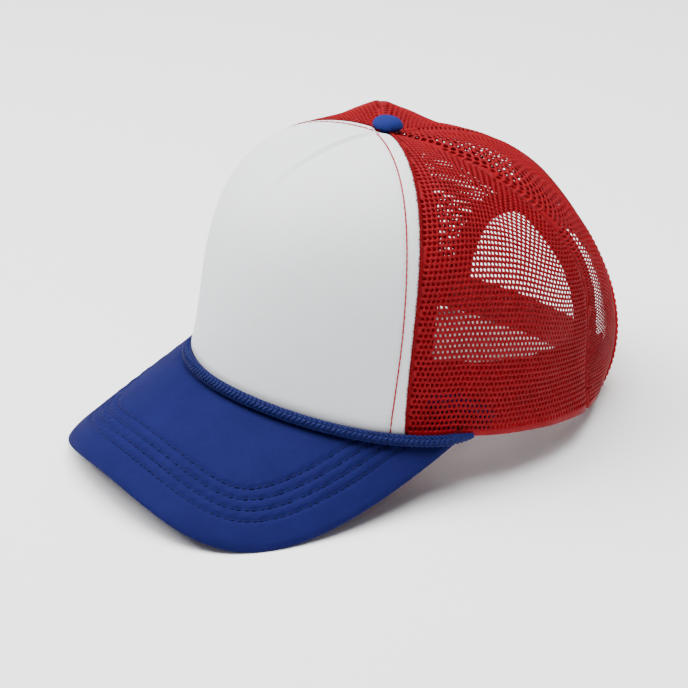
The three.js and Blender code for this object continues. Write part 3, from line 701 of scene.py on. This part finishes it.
def netPanel(name, node, leftSeam, rightSeam, side, opening=False):
    table = np.linspace(0.015, 1, 500)
    gap = crown["seamGap"] / 2
    first, last = seamAngle(leftSeam, table), seamAngle(rightSeam, table)
    first = first + gap / perDegree(side * first, table)
    last = last - gap / perDegree(side * last, table)
    lane = (first + last) / 2 + (net["fan"] * smooth(table) if opening else 0)
    length = lengthAlong(crownSurface(side * lane, table))
    wide = perDegree(side * lane, table)
    total = length[-1]
    rows = int(total / net["row"])
    rowTop = total - rows * net["row"]
    reach = int(np.max((last - first) * wide) / net["pitch"]) + 6
    half = net["pitch"] / 2

    def shareOf(y):
        return np.interp(y, length, table)

    def angleOf(x, share):
        return np.interp(share, table, lane) + x / np.interp(share, table, wide)

    def limits(share):
        return np.interp(share, table, first), np.interp(share, table, last)

    # Which cells are inside the panel, and which of them have a hole
    j, k = np.meshgrid(np.arange(rows), np.arange(-2 * reach, 2 * reach + 1), indexing="ij")
    centreShare = shareOf(rowTop + (j + 0.5) * net["row"])
    centreAngle = angleOf(k * half, centreShare)
    low, high = limits(centreShare)
    fromSide = np.minimum(centreAngle - low, high - centreAngle) * np.interp(centreShare, table, wide)
    hem = hemShare(side * centreAngle[-1], np.zeros(len(centreAngle[-1])))
    fromHem = (np.interp(centreAngle, centreAngle[-1], hem) - centreShare) * total
    fromTop = (centreShare - topShare(side * centreAngle, crown["topHole"])) * total
    within = ((j + k) % 2 == 0) & (fromSide > net["sideMargin"] * net["pitch"])
    within &= np.minimum(fromHem, fromTop) > net["endMargin"] * net["row"]
    kept = within
    if opening:
        kept = within & (archReach(side * centreAngle, centreShare) > 1.015)
    holed = kept & (fromSide > net["holeSide"] * net["pitch"])
    holed &= (fromHem > net["holeEnd"] * net["row"]) & (fromTop > net["row"])

    spots, faces, index = [], [], {}

    def spot(key, x, y, depth, edge=0, atHem=False):
        if key not in index:
            index[key] = len(spots)
            spots.append([x, y, depth, 0, 0])
        if edge:
            spots[index[key]][3] = edge
        if atHem:
            spots[index[key]][4] = 1
        return index[key]

    zig = net["zigzag"] * net["row"]
    for row, column in zip(*np.nonzero(kept)):
        c = column - 2 * reach
        leftEdge = not (within[row, column - 2] if column >= 2 else False)
        rightEdge = not (within[row, column + 2] if column + 2 < kept.shape[1] else False)
        below = row + 1 < rows and (within[row + 1, column - 1] or within[row + 1, column + 1])
        ring = []
        for stepX, stepY in ((-1, 0), (0, 0), (1, 0), (1, 0.5), (1, 1), (0, 1), (-1, 1), (-1, 0.5)):
            y = rowTop + (row + stepY) * net["row"]
            if stepY != 0.5:
                y += zig * (-0.5 if (c + stepX + row + round(stepY)) % 2 == 0 else 0.5)
            edge = -1 if stepX == -1 and leftEdge else 1 if stepX == 1 and rightEdge else 0
            depth = net["ridge"] if stepY == 0.5 else 0.0
            atHem = stepY == 1 and not below and not opening
            ring.append(spot((row + stepY, c + stepX), (c + stepX) * half, y, depth, edge, atHem))
        middleY = rowTop + (row + 0.5) * net["row"]
        if holed[row, column]:
            hole = []
            for i in range(8):
                turn = math.radians(135 - 45 * i)
                wobble = 1 + net["wobble"] * math.sin(row * 1.7 + c * 2.3 + i)
                x = c * half + net["holeWide"] * wobble * math.cos(turn)
                y = middleY - net["holeTall"] * wobble * math.sin(turn)
                hole.append(spot(("hole", row, c, i), x, y, -1))
            faces += [(ring[i], ring[(i + 1) % 8], hole[(i + 1) % 8], hole[i]) for i in range(8)]
        else:
            heart = spot(("heart", row, c), c * half, middleY, net["knot"])
            faces += [(ring[i], ring[(i + 1) % 8], heart) for i in range(8)]

    # From the flat lattice to the crown
    data = np.array(spots, float)
    share = np.clip(shareOf(data[:, 1]), table[0], 1)
    low, high = limits(share)
    angle = np.clip(angleOf(data[:, 0], share), low, high)
    angle = np.where(data[:, 3] < 0, low, np.where(data[:, 3] > 0, high, angle))
    atHem = hemShare(side * angle, np.zeros_like(angle))
    share = np.where(data[:, 4] > 0, atHem, np.minimum(share, atHem))
    share = np.maximum(share, topShare(side * angle, crown["topHole"]))
    if opening:
        grow = 1 / np.clip(archReach(side * angle, share), 1e-6, 1)
        angle = 180 - (180 - angle) * grow
        share = 1 - (1 - share) * grow
    perHere = perDegree(side * angle, share)
    fromSeam = np.minimum(angle - low, high - angle) * perHere
    rollFirst = net["frontRoll"] if leftSeam == "front" else net["seamRoll"]
    roll = rollFirst * np.exp(-(angle - low) * perHere / net["rollWidth"])
    roll = roll + net["seamRoll"] * np.exp(-(high - angle) * perHere / net["rollWidth"])
    roll = roll + net["hemRoll"] * np.exp(-np.abs(atHem - share) * total / net["hemRollWidth"])
    base = roll - netWaves(side * angle, share) * smooth(fromSeam / 9)
    isHole = data[:, 2] < 0
    rise = np.where(isHole, net["thickness"] / 2, data[:, 2])
    solid = np.nonzero(~isHole)[0]
    backIndex = np.arange(len(data))
    backIndex[solid] = len(data) + np.arange(len(solid))
    front = crownPoint(side * angle, share, base + rise)
    back = crownPoint(side * angle, share, base + net["thickness"] - rise)[solid]
    cloth = data[:, :3] * (1, 1, 0)
    made, edges = [], {}
    for face in faces:
        corner = list(face) if side > 0 else list(face)[::-1]
        made.append(corner)
        made.append([int(backIndex[v]) for v in corner[::-1]])
        key = (min(face[:2]), max(face[:2]))
        edges[key] = None if key in edges else face[:2]
    for pair in filter(None, edges.values()):
        a, b = pair if side > 0 else pair[::-1]
        made.append([b, a, int(backIndex[a]), int(backIndex[b])])
    cloth = np.concatenate([cloth, cloth[solid]])
    piece = addPiece(name, settle(np.concatenate([front, back])), made, netRed, cloth, [node])
    cleanUp(piece)

    down = np.linspace(0.02, 1, 90)
    low, high = limits(down)
    angles = low[:, None] + (high - low)[:, None] * np.linspace(0, 1, 25)[None, :]
    shares = np.minimum(down[:, None], hemShare(side * angles, np.zeros_like(angles)))
    outside = archReach(side * angles, shares)[:-1, :-1] > 1 if opening else 1
    panel = crownSurface(side * angles, shares)
    sayCut(panel, (net["seam"], net["seam"]), outside)
    print(name, "holes", int(holed.sum()), "faces", len(piece.data.polygons))


def cleanUp(piece, nearest=0.00002):
    shape = bmesh.new()
    shape.from_mesh(piece.data)
    bmesh.ops.remove_doubles(shape, verts=shape.verts, dist=nearest)
    bmesh.ops.dissolve_degenerate(shape, edges=shape.edges, dist=nearest)
    bmesh.ops.recalc_face_normals(shape, faces=shape.faces)
    shape.to_mesh(piece.data)
    shape.free()


netPanel("net_left", "side_mesh_left", "front", "side", 1)
netPanel("net_right", "side_mesh_right", "front", "side", -1)
netPanel("net_back_left", "back_mesh_left", "side", "back", 1, True)
netPanel("net_back_right", "back_mesh_right", "side", "back", -1, True)
print("nets made")

# Bill: a bent foam pad with a rounded lip and four sewn rows
padding = {
    "stations": 210, "stitchRows": (12.7, 17.5, 22.3, 27.1), "dip": 0.55, "dipWidth": 1.15,
    "stitch": 3.0, "gap": 0.5, "thread": 0.6, "pucker": 0.2, "gutter": 1.0,
}


def brimOutline(share):
    t = np.asarray(share, float)
    leave, arrive = 3 * (1 - t) ** 2 * t, 3 * (1 - t) * t ** 2
    x = ((1 - t) ** 3 + leave) * brim["cornerAcross"] + arrive * brim["frontHandle"]
    y = leave * (brim["sideHandle"] - brim["cornerBack"]) - (1 - t) ** 3 * brim["cornerBack"]
    return x, y + (arrive + t ** 3) * brim["length"]


def brimGrid(insets):
    stations = np.linspace(-1, 1, padding["stations"] + 1)
    outX, outY = brimOutline(1 - np.abs(stations))
    outline = np.stack([np.sign(stations) * outX, outY], -1)
    x, y = rimPlan(stations * brim["cornerAngle"])
    inwards = (np.hypot(x, y) - brim["tuck"]) / np.hypot(x, y)
    root = np.stack(brimPlace(x * inwards, y * inwards), -1)
    width = np.linalg.norm(outline - root, axis=-1)
    inset = np.minimum(insets[None, :], (width * 0.985)[:, None] * insets[None, :] / insets[-1])
    share = (inset / width[:, None])[..., None]
    return outline[:, None] * (1 - share) + root[:, None] * share, inset, width


def edgeDistance(place):  # how far each point of the flat board lies from its outer edge
    x, y = brimOutline(np.linspace(0, 1, 260))
    nearest = np.full(place.shape[:2], 1e9)
    for edgeX, edgeY in zip(x, y):
        nearest = np.minimum(nearest, (np.abs(place[..., 0]) - edgeX) ** 2 + (place[..., 1] - edgeY) ** 2)
    return np.sqrt(nearest)


def billPiece():
    lipInsets = [0, 0.12, 0.4, 0.85, 1.5, 2.3, 3.3, 4.4, 5.6, 7, 8.5]
    place, inset, width = brimGrid(np.concatenate([lipInsets, np.arange(10, 72.1, 0.62)]))
    x, y = place[..., 0], place[..., 1]
    fromEdge = edgeDistance(place)
    full = np.sqrt(1 - (1 - np.clip((inset + 0.02) / brim["lip"], 0, 1)) ** 2)
    along = lengthAlong(place[:, 20])
    relief = np.zeros_like(inset)
    for i, row in enumerate(padding["stitchRows"]):
        near = np.exp(-((fromEdge - row) / padding["dipWidth"]) ** 2)
        pucker = 1 + 0.3 * np.cos(math.tau * along / padding["stitch"] + i)
        relief += padding["dip"] * near * pucker[:, None]
    ripple = np.sin(math.tau * along / (2 * padding["stitch"]))[:, None] * np.sin(fromEdge * 1.31 + 0.6)
    ripple = padding["pucker"] * ripple * np.exp(-((fromEdge - 20) / 9) ** 4)
    relief -= np.where((fromEdge > 9) & (fromEdge < 31), ripple, 0)
    uneven = 0.18 * np.sin(x / 13 + 1) * np.sin(y / 11)
    lipSoft = 0.12 * np.sin(along / 4.3)[:, None] * np.exp(-((inset - 2) / 3) ** 2)
    gutter = padding["gutter"] * np.exp(-((width[:, None] - inset - brim["tuck"] - 3.4) / 3.2) ** 2)
    top = -brim["lipDrop"] * (1 - full) - (relief - uneven - lipSoft) * full - gutter
    bottom = -brim["lipDrop"] - (brim["thick"] - brim["lipDrop"]) * full + relief * 0.8
    piece = addShell("bill_pad", brimPoint(x, y, top), brimPoint(x, y, bottom), billBlue, ["bill"])
    ends = []
    for row in padding["stitchRows"]:
        first = np.argmax(fromEdge > row, axis=1)
        rows = np.arange(len(first))
        before, after = fromEdge[rows, first - 1], fromEdge[rows, first]
        step = ((row - before) / (after - before))[:, None]
        line = place[rows, first - 1] * (1 - step) + place[rows, first] * step
        line = line[fromEdge.max(1) > row + 0.4]
        for lift, face in ((-padding["dip"] * 0.8, 1), (-brim["thick"] + padding["dip"] * 0.7, -1)):
            points, above = (brimPoint(line[:, 0], line[:, 1], height) for height in (lift, lift + 1))
            stitch = padding["stitch"] - padding["gap"]
            ends += alongCurve(points, face * (above - points), stitch, padding["gap"])
    addStitches("bill_stitches", ends, threadBlue, padding["thread"])


billPiece()
print("bill made")

# Rope: plaited strands that meet in chevrons, its ends drawn in under the hem
rope = {
    "radius": 2.6, "endAngle": 69, "levelAngle": 58, "sink": 1.0, "taper": 14, "step": 0.34,
    "sides": 12, "columns": 6, "pitch": 2.15, "strandLong": 1.72, "strandWide": 0.76, "strandThick": 0.62,
    "lean": 38, "valley": 0.76, "farAngle": 10, "farBlend": 30, "farSink": 2.0, "farSlim": 0.34,
}


def ropeFoot(angles):  # its place in front of the rim, and how high over the rim it lies on the bill
    point = crownSurface(angles, np.ones_like(angles))
    outward = unit(crownFrame(angles, np.ones_like(angles))[2] * np.array([1, 1, 0]))
    point = point + outward * (rope["radius"] + crown["clearance"] * 1.5)
    across, forward = brimPlace(point[:, 0], point[:, 1])
    steep = np.cos(across / brim["bend"]) * math.cos(math.radians(brim["drop"]))
    onBrim = brimPoint(across, forward)[:, 2]
    return point, outward, onBrim + (rope["radius"] + crown["clearance"]) / steep - rimHeight(angles)


def ropePath():
    angles = np.linspace(-rope["endAngle"], rope["endAngle"], 900)
    point, outward, _ = ropeFoot(angles)
    level = ropeFoot(np.clip(angles, -rope["levelAngle"], rope["levelAngle"]))[2]
    far = smooth((-angles - rope["farAngle"]) / rope["farBlend"])  # the far side is drawn down into the join
    point[:, 2] = rimHeight(angles) + level - (rope["sink"] + rope["farSink"] * far)
    point = point - outward * rope["farSink"] * far[:, None]
    lengths = lengthAlong(point)
    even = np.linspace(0, lengths[-1], int(lengths[-1] / rope["step"]))
    outward = unit(pickAt(even, lengths, outward))
    return even, pickAt(even, lengths, point), outward, np.interp(even, lengths, far)


def billRope():
    even, path, outward, far = ropePath()
    taper = smooth(np.minimum(even, even[-1] - even) / rope["taper"])
    slim = (0.4 + 0.6 * np.sqrt(np.clip(taper, 0, 1))) * (1 - rope["farSlim"] * far)
    tangent = unit(np.gradient(path, axis=0))
    up = unit(np.cross(outward, tangent))
    up = np.where(up[:, 2:] < 0, -up, up)
    path = path + (up * 0.5 - outward * 1.5) * ((1 - slim) * rope["radius"])[:, None]
    around = np.linspace(0, math.tau, rope["sides"], endpoint=False)
    ring = up[:, None] * np.sin(around)[None, :, None] + outward[:, None] * np.cos(around)[None, :, None]
    filled = rope["valley"] + (1 - rope["valley"]) * (1 - taper)  # the plait smooths out where it narrows
    core = path[:, None] + ring * (rope["radius"] * filled * slim)[:, None, None]
    points = [core.reshape(-1, 3)]
    cloth = [np.zeros((len(points[0]), 3))]
    faces = ringSolid(len(even), rope["sides"])
    lat, lon = np.meshgrid(np.radians(np.linspace(-80, 80, 6)), np.radians(np.arange(8) * 45), indexing="ij")
    leaf = np.stack([np.sin(lat), np.cos(lat) * np.cos(lon), np.cos(lat) * np.sin(lon)], -1).reshape(-1, 3)
    at = (np.arange(int(even[-1] / rope["pitch"])) + 0.5) * rope["pitch"]
    size = np.interp(at, even, slim)[:, None, None]
    along = unit(pickAt(at, even, tangent))
    start = len(points[0])
    for column in range(rope["columns"]):
        turn = math.radians(15 + 360 / rope["columns"] * column)
        radial = unit(pickAt(at, even, up) * math.sin(turn) + pickAt(at, even, outward) * math.cos(turn))
        across = np.cross(along, radial)
        lean = math.radians(rope["lean"]) * (1 if column % 2 else -1)
        heading = along * math.cos(lean) + across * math.sin(lean)
        side = np.cross(radial, heading)
        middle = pickAt(at, even, path) + radial * (rope["radius"] - rope["strandThick"]) * size[:, 0]
        strand = heading[:, None] * leaf[None, :, :1] * rope["strandLong"]
        strand = strand + side[:, None] * leaf[None, :, 1:2] * rope["strandWide"]
        strand = strand + radial[:, None] * leaf[None, :, 2:] * rope["strandThick"]
        points.append((middle[:, None] + size * strand).reshape(-1, 3))
        cloth.append(np.tile(leaf * (0.4, 1.6, 0), (len(at), 1))[:, [1, 0, 2]])
        for _ in at:
            faces += ringSolid(6, 8, start)
            start += len(leaf)
    points = settle(np.concatenate(points))
    addPiece("bill_rope_braid", points, faces, ropeBlue, np.concatenate(cloth), ["bill_rope"])


billRope()
print("rope made")

# Button: cloth drawn over a dome
knob = {"radius": 6.7, "height": 5.4, "base": 0.8, "under": 1.2, "shank": 5, "folds": 9, "gather": 0.018}


def buttonPiece():
    count = 72
    around = np.linspace(0, math.tau, count, endpoint=False)
    wide, base = knob["radius"], knob["base"]
    profile = [(wide * 0.45, -knob["shank"]), (wide * 0.45, base), (wide * 0.86, base - 0.1)]
    for turn in np.radians(np.linspace(-35, 88, 22)):
        rise = math.sin(turn) * (1 if turn > 0 else 0.35)
        height = base + knob["under"] + (knob["height"] - knob["under"]) * rise
        profile.append((wide * math.cos(turn) ** 0.8, height))
    profile = np.array(profile)
    gather = np.cos(knob["folds"] * around) * 0.5 + 0.5 * np.cos(2 * knob["folds"] * around + 1)
    rim = np.exp(-((profile[:, 1] - base - 0.6) / 1.3) ** 2)
    radius = profile[:, :1] * (1 + knob["gather"] * rim[:, None] * gather[None, :])
    x, y = radius * np.cos(around), radius * np.sin(around) - crown["topForward"]
    points = np.stack(np.broadcast_arrays(x, y, profile[:, 1:] + crown["height"]), -1).reshape(-1, 3)
    faces = ringSolid(len(profile), count)
    addPiece("top_button", settle(points), faces, clothBlue, points - points.mean(0), ["button"])


buttonPiece()
print("button made")

# Bands and tapes
band = {
    "height": 31, "endHeight": 27, "lowerFrom": 105, "endAngle": 141,
    "thickness": 1.5, "depth": 5.36, "edge": 1.4, "seam": (3, 3),
}
turnUp = {"height": 20, "endAngle": 76, "thickness": 1.0, "depth": 3.68, "edge": 0.8, "seam": (3, 1.5)}
tape = {
    "frontHalf": 8.8, "backHalf": 10.5, "start": 10, "crowding": 0.47, "depth": 1.5, "thickness": 0.8,
    "edge": 0.6, "seam": (0, 4), "stitch": 2.6, "gap": 0.6, "thread": 0.45,
}


def innerHem(angles, depth):  # past the bill's corners the inner layers come down with the net
    own = hemShare(angles, np.full_like(angles, depth))
    low = hemShare(angles, np.zeros_like(angles))
    return own + np.maximum(low - own, 0) * smooth((np.abs(angles) - 57) / 4)


def addBand(name, node, sizes, angles, height, rows, finish):
    top = shareAtHeight(angles, height)
    bottom = innerHem(angles, sizes["depth"])
    shares = top[None, :] + (bottom - top)[None, :] * rows[:, None]
    grid = np.broadcast_to(angles, shares.shape)
    outer, inner = roundedStrip(grid, shares, sizes["depth"], sizes["thickness"], sizes["edge"])
    piece = addShell(name, outer, inner, finish, [node])
    sayCut(outer, sizes["seam"])


def sweatBand():
    angles = np.linspace(-band["endAngle"], band["endAngle"], 281)
    rows = np.concatenate([np.linspace(0, 0.12, 6), np.linspace(0.15, 0.85, 12), np.linspace(0.9, 1, 5)])
    lowered = smooth((np.abs(angles) - band["lowerFrom"]) / (band["endAngle"] - band["lowerFrom"]))
    height = band["height"] + (band["endHeight"] - band["height"]) * lowered
    height = height + 0.35 * np.sin(angles / 6.5) + 0.2 * np.sin(angles / 2.9)
    addBand("sweat_band", "sweatband", band, angles, height, rows, bandRed)


def turnedEdge():
    across = np.linspace(-1, 1, 161)
    angles = across * turnUp["endAngle"]
    height = turnUp["height"] * np.sqrt(1 - 0.75 * across ** 6) + 0.3 * np.sin(angles / 3.1)
    rows, restsOn = np.linspace(0, 1, 12), ["bill", "front_panel"]
    addBand("bill_turned_edge", "bill_edge", turnUp, angles, height, rows, turnedBluePaintedShade)


def seamTape(name, node, seam, side, halfWidth, endShare, restsOn):
    root = float(topShare(np.array(side * seams[seam][0], float), tape["start"]))
    shares = root + (endShare - root) * np.linspace(0, 1, 120)
    middle = side * seamAngle(seam, shares)
    point = crownSurface(middle, shares)
    fromTop = np.hypot(point[:, 0], point[:, 1] + crown["topForward"])
    wide = np.minimum(halfWidth, tape["crowding"] * fromTop) / perDegree(middle, shares)
    across = np.concatenate([np.linspace(-1, -0.9, 4), np.linspace(-0.8, 0.8, 11), np.linspace(0.9, 1, 4)])
    angles = middle[:, None] + across[None, :] * wide[:, None]
    grid = np.minimum(shares[:, None], hemShare(angles, np.full(angles.shape, tape["depth"])))
    outer, inner = roundedStrip(angles, grid, tape["depth"], tape["thickness"], tape["edge"])
    piece = addShell(name, outer, inner, tapeRed, [node])
    sayCut(outer, tape["seam"])
    ends = []
    keep = (grid[:, 0] == shares) & (shares > root + 0.03)
    for place in (-0.8, 0.8):
        line = middle + place * wide
        normals = crownFrame(line, shares)[2]
        inside = crownSurface(line, shares) - normals * (tape["depth"] + tape["thickness"])
        ends += alongCurve(inside[keep], -normals[keep], tape["stitch"], tape["gap"])
    return ends


sweatBand()
turnedEdge()
centerEnd = 1 - arch["share"] - (arch["binding"] + 2 * crown["layer"]) / arch["perShare"]
tapeEnds = []
for tapeRow in (
    ("front_tape_left", "tape_front_left", "front", 1, tape["frontHalf"], 1, "front_panel"),
    ("front_tape_right", "tape_front_right", "front", -1, tape["frontHalf"], 1, "front_panel"),
    ("back_tape_left", "tape_back_left", "side", 1, tape["backHalf"], 1, "back_mesh_left"),
    ("back_tape_right", "tape_back_right", "side", -1, tape["backHalf"], 1, "back_mesh_right"),
    ("center_tape", "tape_center", "back", 1, tape["backHalf"], centerEnd, "back_mesh_left"),
):
    tapeEnds += seamTape(*tapeRow)
addStitches("tape_stitches", tapeEnds, threadRed, tape["thread"], 5)
print("bands and tapes made")


# Binding folded over the edge of the opening
def archEdge(turn):
    a = np.radians(np.clip(turn, 0, 180))
    power = 2 / arch["squareness"]
    angle = 180 + arch["halfAngle"] * np.sign(np.cos(a)) * np.abs(np.cos(a)) ** power
    return angle, 1 - arch["share"] * np.abs(np.sin(a)) ** power


def archBinding():
    turn = np.linspace(0, 180, 181)
    angle, share = archEdge(turn)
    around, down, normal = crownFrame(angle, share)
    perAngle = np.linalg.norm(around, axis=-1) / 4
    perShare = np.linalg.norm(down, axis=-1) / 0.008
    around, down = unit(around), unit(down)
    ahead = crownSurface(*archEdge(turn + 1)) - crownSurface(*archEdge(turn - 1))
    away = unit(np.cross(unit(ahead), normal))
    legs = (1.0, 0.94, 0.85, 0.7, 0.55, 0.4, 0.25, 0.1)
    netThickness = arch["netThickness"]

    def leg(reach, depth):
        into = reach * arch["binding"]
        legAngle = angle + into * (away * around).sum(1) / perAngle
        legShare = np.minimum(share + into * (away * down).sum(1) / perShare, 1)
        return crownPoint(legAngle, legShare, np.broadcast_to(depth, legAngle.shape))

    def pressed(reach):  # the fold's edges are sewn down on the net
        return 0.35 * max(0, (reach - 0.85) / 0.15)

    def skin(thick):
        stand = crown["layer"] + thick * arch["bindingThickness"]
        columns = [leg(reach, -stand + pressed(reach)) for reach in legs]
        point = crownSurface(angle, share)
        for a in np.radians(np.linspace(0, 180, 9)):
            depth = netThickness / 2 - (netThickness / 2 + stand) * math.cos(a)
            columns.append(point - away * (stand * math.sin(a)) - normal * depth)
        columns += [leg(reach, netThickness + stand - pressed(reach)) for reach in legs[::-1]]
        return np.stack(columns, 1)

    piece = addShell("arch_edge_binding", skin(1), skin(0), tapeRed, ["arch_binding"])
    sayCut(skin(0.5), (0, 4))
    stand = crown["layer"] + arch["bindingThickness"] + 0.05
    ends = []
    for face, depth in ((1, -stand), (-1, netThickness + stand)):
        for reach in (0.2, 0.84):
            ends += alongCurve(leg(reach, depth), face * normal, 2.4, 0.5)
    addStitches("binding_stitches", ends, threadRed, 0.5, 5)


archBinding()
print("opening bound")

# Snap strap: two plastic halves, the holed one outside
strap = {
    "height": 20.5, "tip": 17, "root": 139.5, "reach": 15, "pitch": 7.6, "count": 7, "fastened": 7,
    "margin": 5.6, "thickness": 1.0, "depth": 2.98, "lift": 4, "peg": 2.2, "pegOut": 1.4, "hole": 2.7,
}
rimStep = float(perDegree(np.array(180.0), np.array(0.98)))
rootPlace = (180 - strap["root"]) * rimStep
firstHole = strap["reach"] - strap["margin"]
lastFastened = firstHole - (strap["fastened"] - 1) * strap["pitch"]
innerDepth = strap["depth"] + strap["thickness"] + crown["clearance"]


# Places are measured from the middle of the back towards the root of each half
def strapRise(place):  # it runs straighter than the rim, and so lies higher in the middle
    return strap["lift"] * (1 - smooth(np.abs(place) / rootPlace))


def holedDepth(place):
    return np.full(np.shape(place), strap["depth"])


def pegDepth(place):
    return innerDepth + (strap["depth"] - innerDepth) * smooth((np.asarray(place) - strap["reach"] - 2) / 16)


def strapShell(name, node, side, tipPlace, depthAt):
    tipRound = strap["tip"] / 2
    straight = np.linspace(rootPlace, tipPlace + tipRound, 90)[:-1]
    rounded = tipPlace + tipRound - tipRound * np.sin(np.radians(np.linspace(0, 90, 12)))[:-1]
    places = np.concatenate([straight, rounded, [tipPlace + 0.004]])
    toTip = np.clip((places - tipPlace) / tipRound, 0, 1)
    roundness = np.sqrt(np.maximum(1 - (1 - toTip) ** 2, 0.0004))
    toRoot = np.clip((places - tipPlace) / (rootPlace - tipPlace), 0, 1)
    body = strap["tip"] + (strap["height"] - strap["tip"]) * toRoot
    ups = np.sin(np.radians(np.linspace(-90, 90, 15)))
    upGrid = ups[None, :] * (body / 2 * roundness)[:, None]
    placeGrid = np.broadcast_to(places[:, None], upGrid.shape)
    angle = 180 - side * placeGrid / rimStep
    share = shareAtHeight(angle, np.maximum((body / 2 + strapRise(places))[:, None] + upGrid, 0))
    edgeRound = 0.22 * (1 - np.sqrt(np.clip(1 - ups ** 6, 0, 1)))[None, :]
    outer = crownPoint(angle, share, depthAt(placeGrid) + edgeRound)
    inner = crownPoint(angle, share, depthAt(placeGrid) + strap["thickness"] - edgeRound)
    return addShell(name, outer, inner, plasticRed, [node])


def pinMesh(side, depthAt, place, radius, fromDepth, toDepth, rings):
    angle = np.array(180 - side * place / rimStep)
    share = shareAtHeight(angle, np.array(strap["tip"] / 2 + 0.6 + float(strapRise(np.array(place)))))
    base = float(depthAt(np.array(place)))
    start = crownPoint(angle, share, np.array(base + fromDepth))
    end = crownPoint(angle, share, np.array(base + toDepth))
    axis = unit(start - end)
    level = unit(np.cross(axis, [0, 0, 1]))
    count = 28
    around = np.linspace(0, math.tau, count, endpoint=False)[:, None]
    circle = np.cos(around) * level + np.sin(around) * np.cross(axis, level)
    points = np.concatenate([start + (end - start) * along + radius * wide * circle for along, wide in rings])
    mesh = bpy.data.meshes.new("pin")
    mesh.from_pydata(settle(points).tolist(), [], ringSolid(len(rings), count))
    pin = bpy.data.objects.new("pin", mesh)
    bpy.context.scene.collection.objects.link(pin)
    cleanUp(pin)
    return pin


def cutHoles(piece, side, depthAt, places):
    for place in places:
        pin = pinMesh(side, depthAt, place, strap["hole"], -1.5, strap["thickness"] + 1.5, [(0, 1), (1, 1)])
        change = piece.modifiers.new("hole", "BOOLEAN")
        change.operation = "DIFFERENCE"
        change.solver = "EXACT"
        change.object = pin
        bakeModifiers(piece)
        bpy.data.objects.remove(pin, do_unlink=True)


def bakeModifiers(piece):
    graph = bpy.context.evaluated_depsgraph_get()
    solid = bpy.data.meshes.new_from_object(piece.evaluated_get(graph))
    piece.modifiers.clear()
    old = piece.data
    piece.data = solid
    bpy.data.meshes.remove(old)


def strapPegs(side, depthAt, places):
    points, faces = [], []
    rings = [(0, 0.72), (0.05, 0.9), (0.16, 1.0), (1, 1.0)]
    out = -strap["pegOut"] - strap["thickness"] - 0.3
    for place in places:
        pin = pinMesh(side, depthAt, place, strap["peg"], out, 0.4, rings)
        offset = len(points)
        points += [tuple(v.co) for v in pin.data.vertices]
        faces += [[offset + v for v in polygon.vertices] for polygon in pin.data.polygons]
        bpy.data.objects.remove(pin, do_unlink=True)
    addPiece("strap_studs", points, faces, plasticRed, np.zeros((len(points), 3)))


holeRun = (strap["count"] - 1) * strap["pitch"]
holePlaces = [firstHole - holeRun + i * strap["pitch"] for i in range(strap["count"])]
pegPlaces = [lastFastened + i * strap["pitch"] for i in range(strap["count"])]
holedHalf = strapShell("strap_outer", "strap_holes", -1, -strap["reach"], holedDepth)
cutHoles(holedHalf, -1, holedDepth, [-place for place in holePlaces])
strapShell("strap_inner", "strap_pegs", 1, -(strap["margin"] - lastFastened), pegDepth)
strapPegs(1, pegDepth, pegPlaces)
print("strap made")

# Floor
floorMesh = bpy.data.meshes.new("floor")
floorHalf = studio["floorSize"] / 2
floorCorners = [(x * floorHalf, y * floorHalf, 0) for x, y in ((-1, -1), (1, -1), (1, 1), (-1, 1))]
floorMesh.from_pydata(floorCorners, [], [(0, 1, 2, 3)])
floorPiece = bpy.data.objects.new("floor", floorMesh)
bpy.context.scene.collection.objects.link(floorPiece)
floorFinish = bpy.data.materials.new("floor")
floorFinish.use_nodes = True
floorFinish.node_tree.nodes["Principled BSDF"].inputs["Base Color"].default_value = studio["floorColor"]
floorFinish.node_tree.nodes["Principled BSDF"].inputs["Roughness"].default_value = 0.9
floorMesh.materials.append(floorFinish)
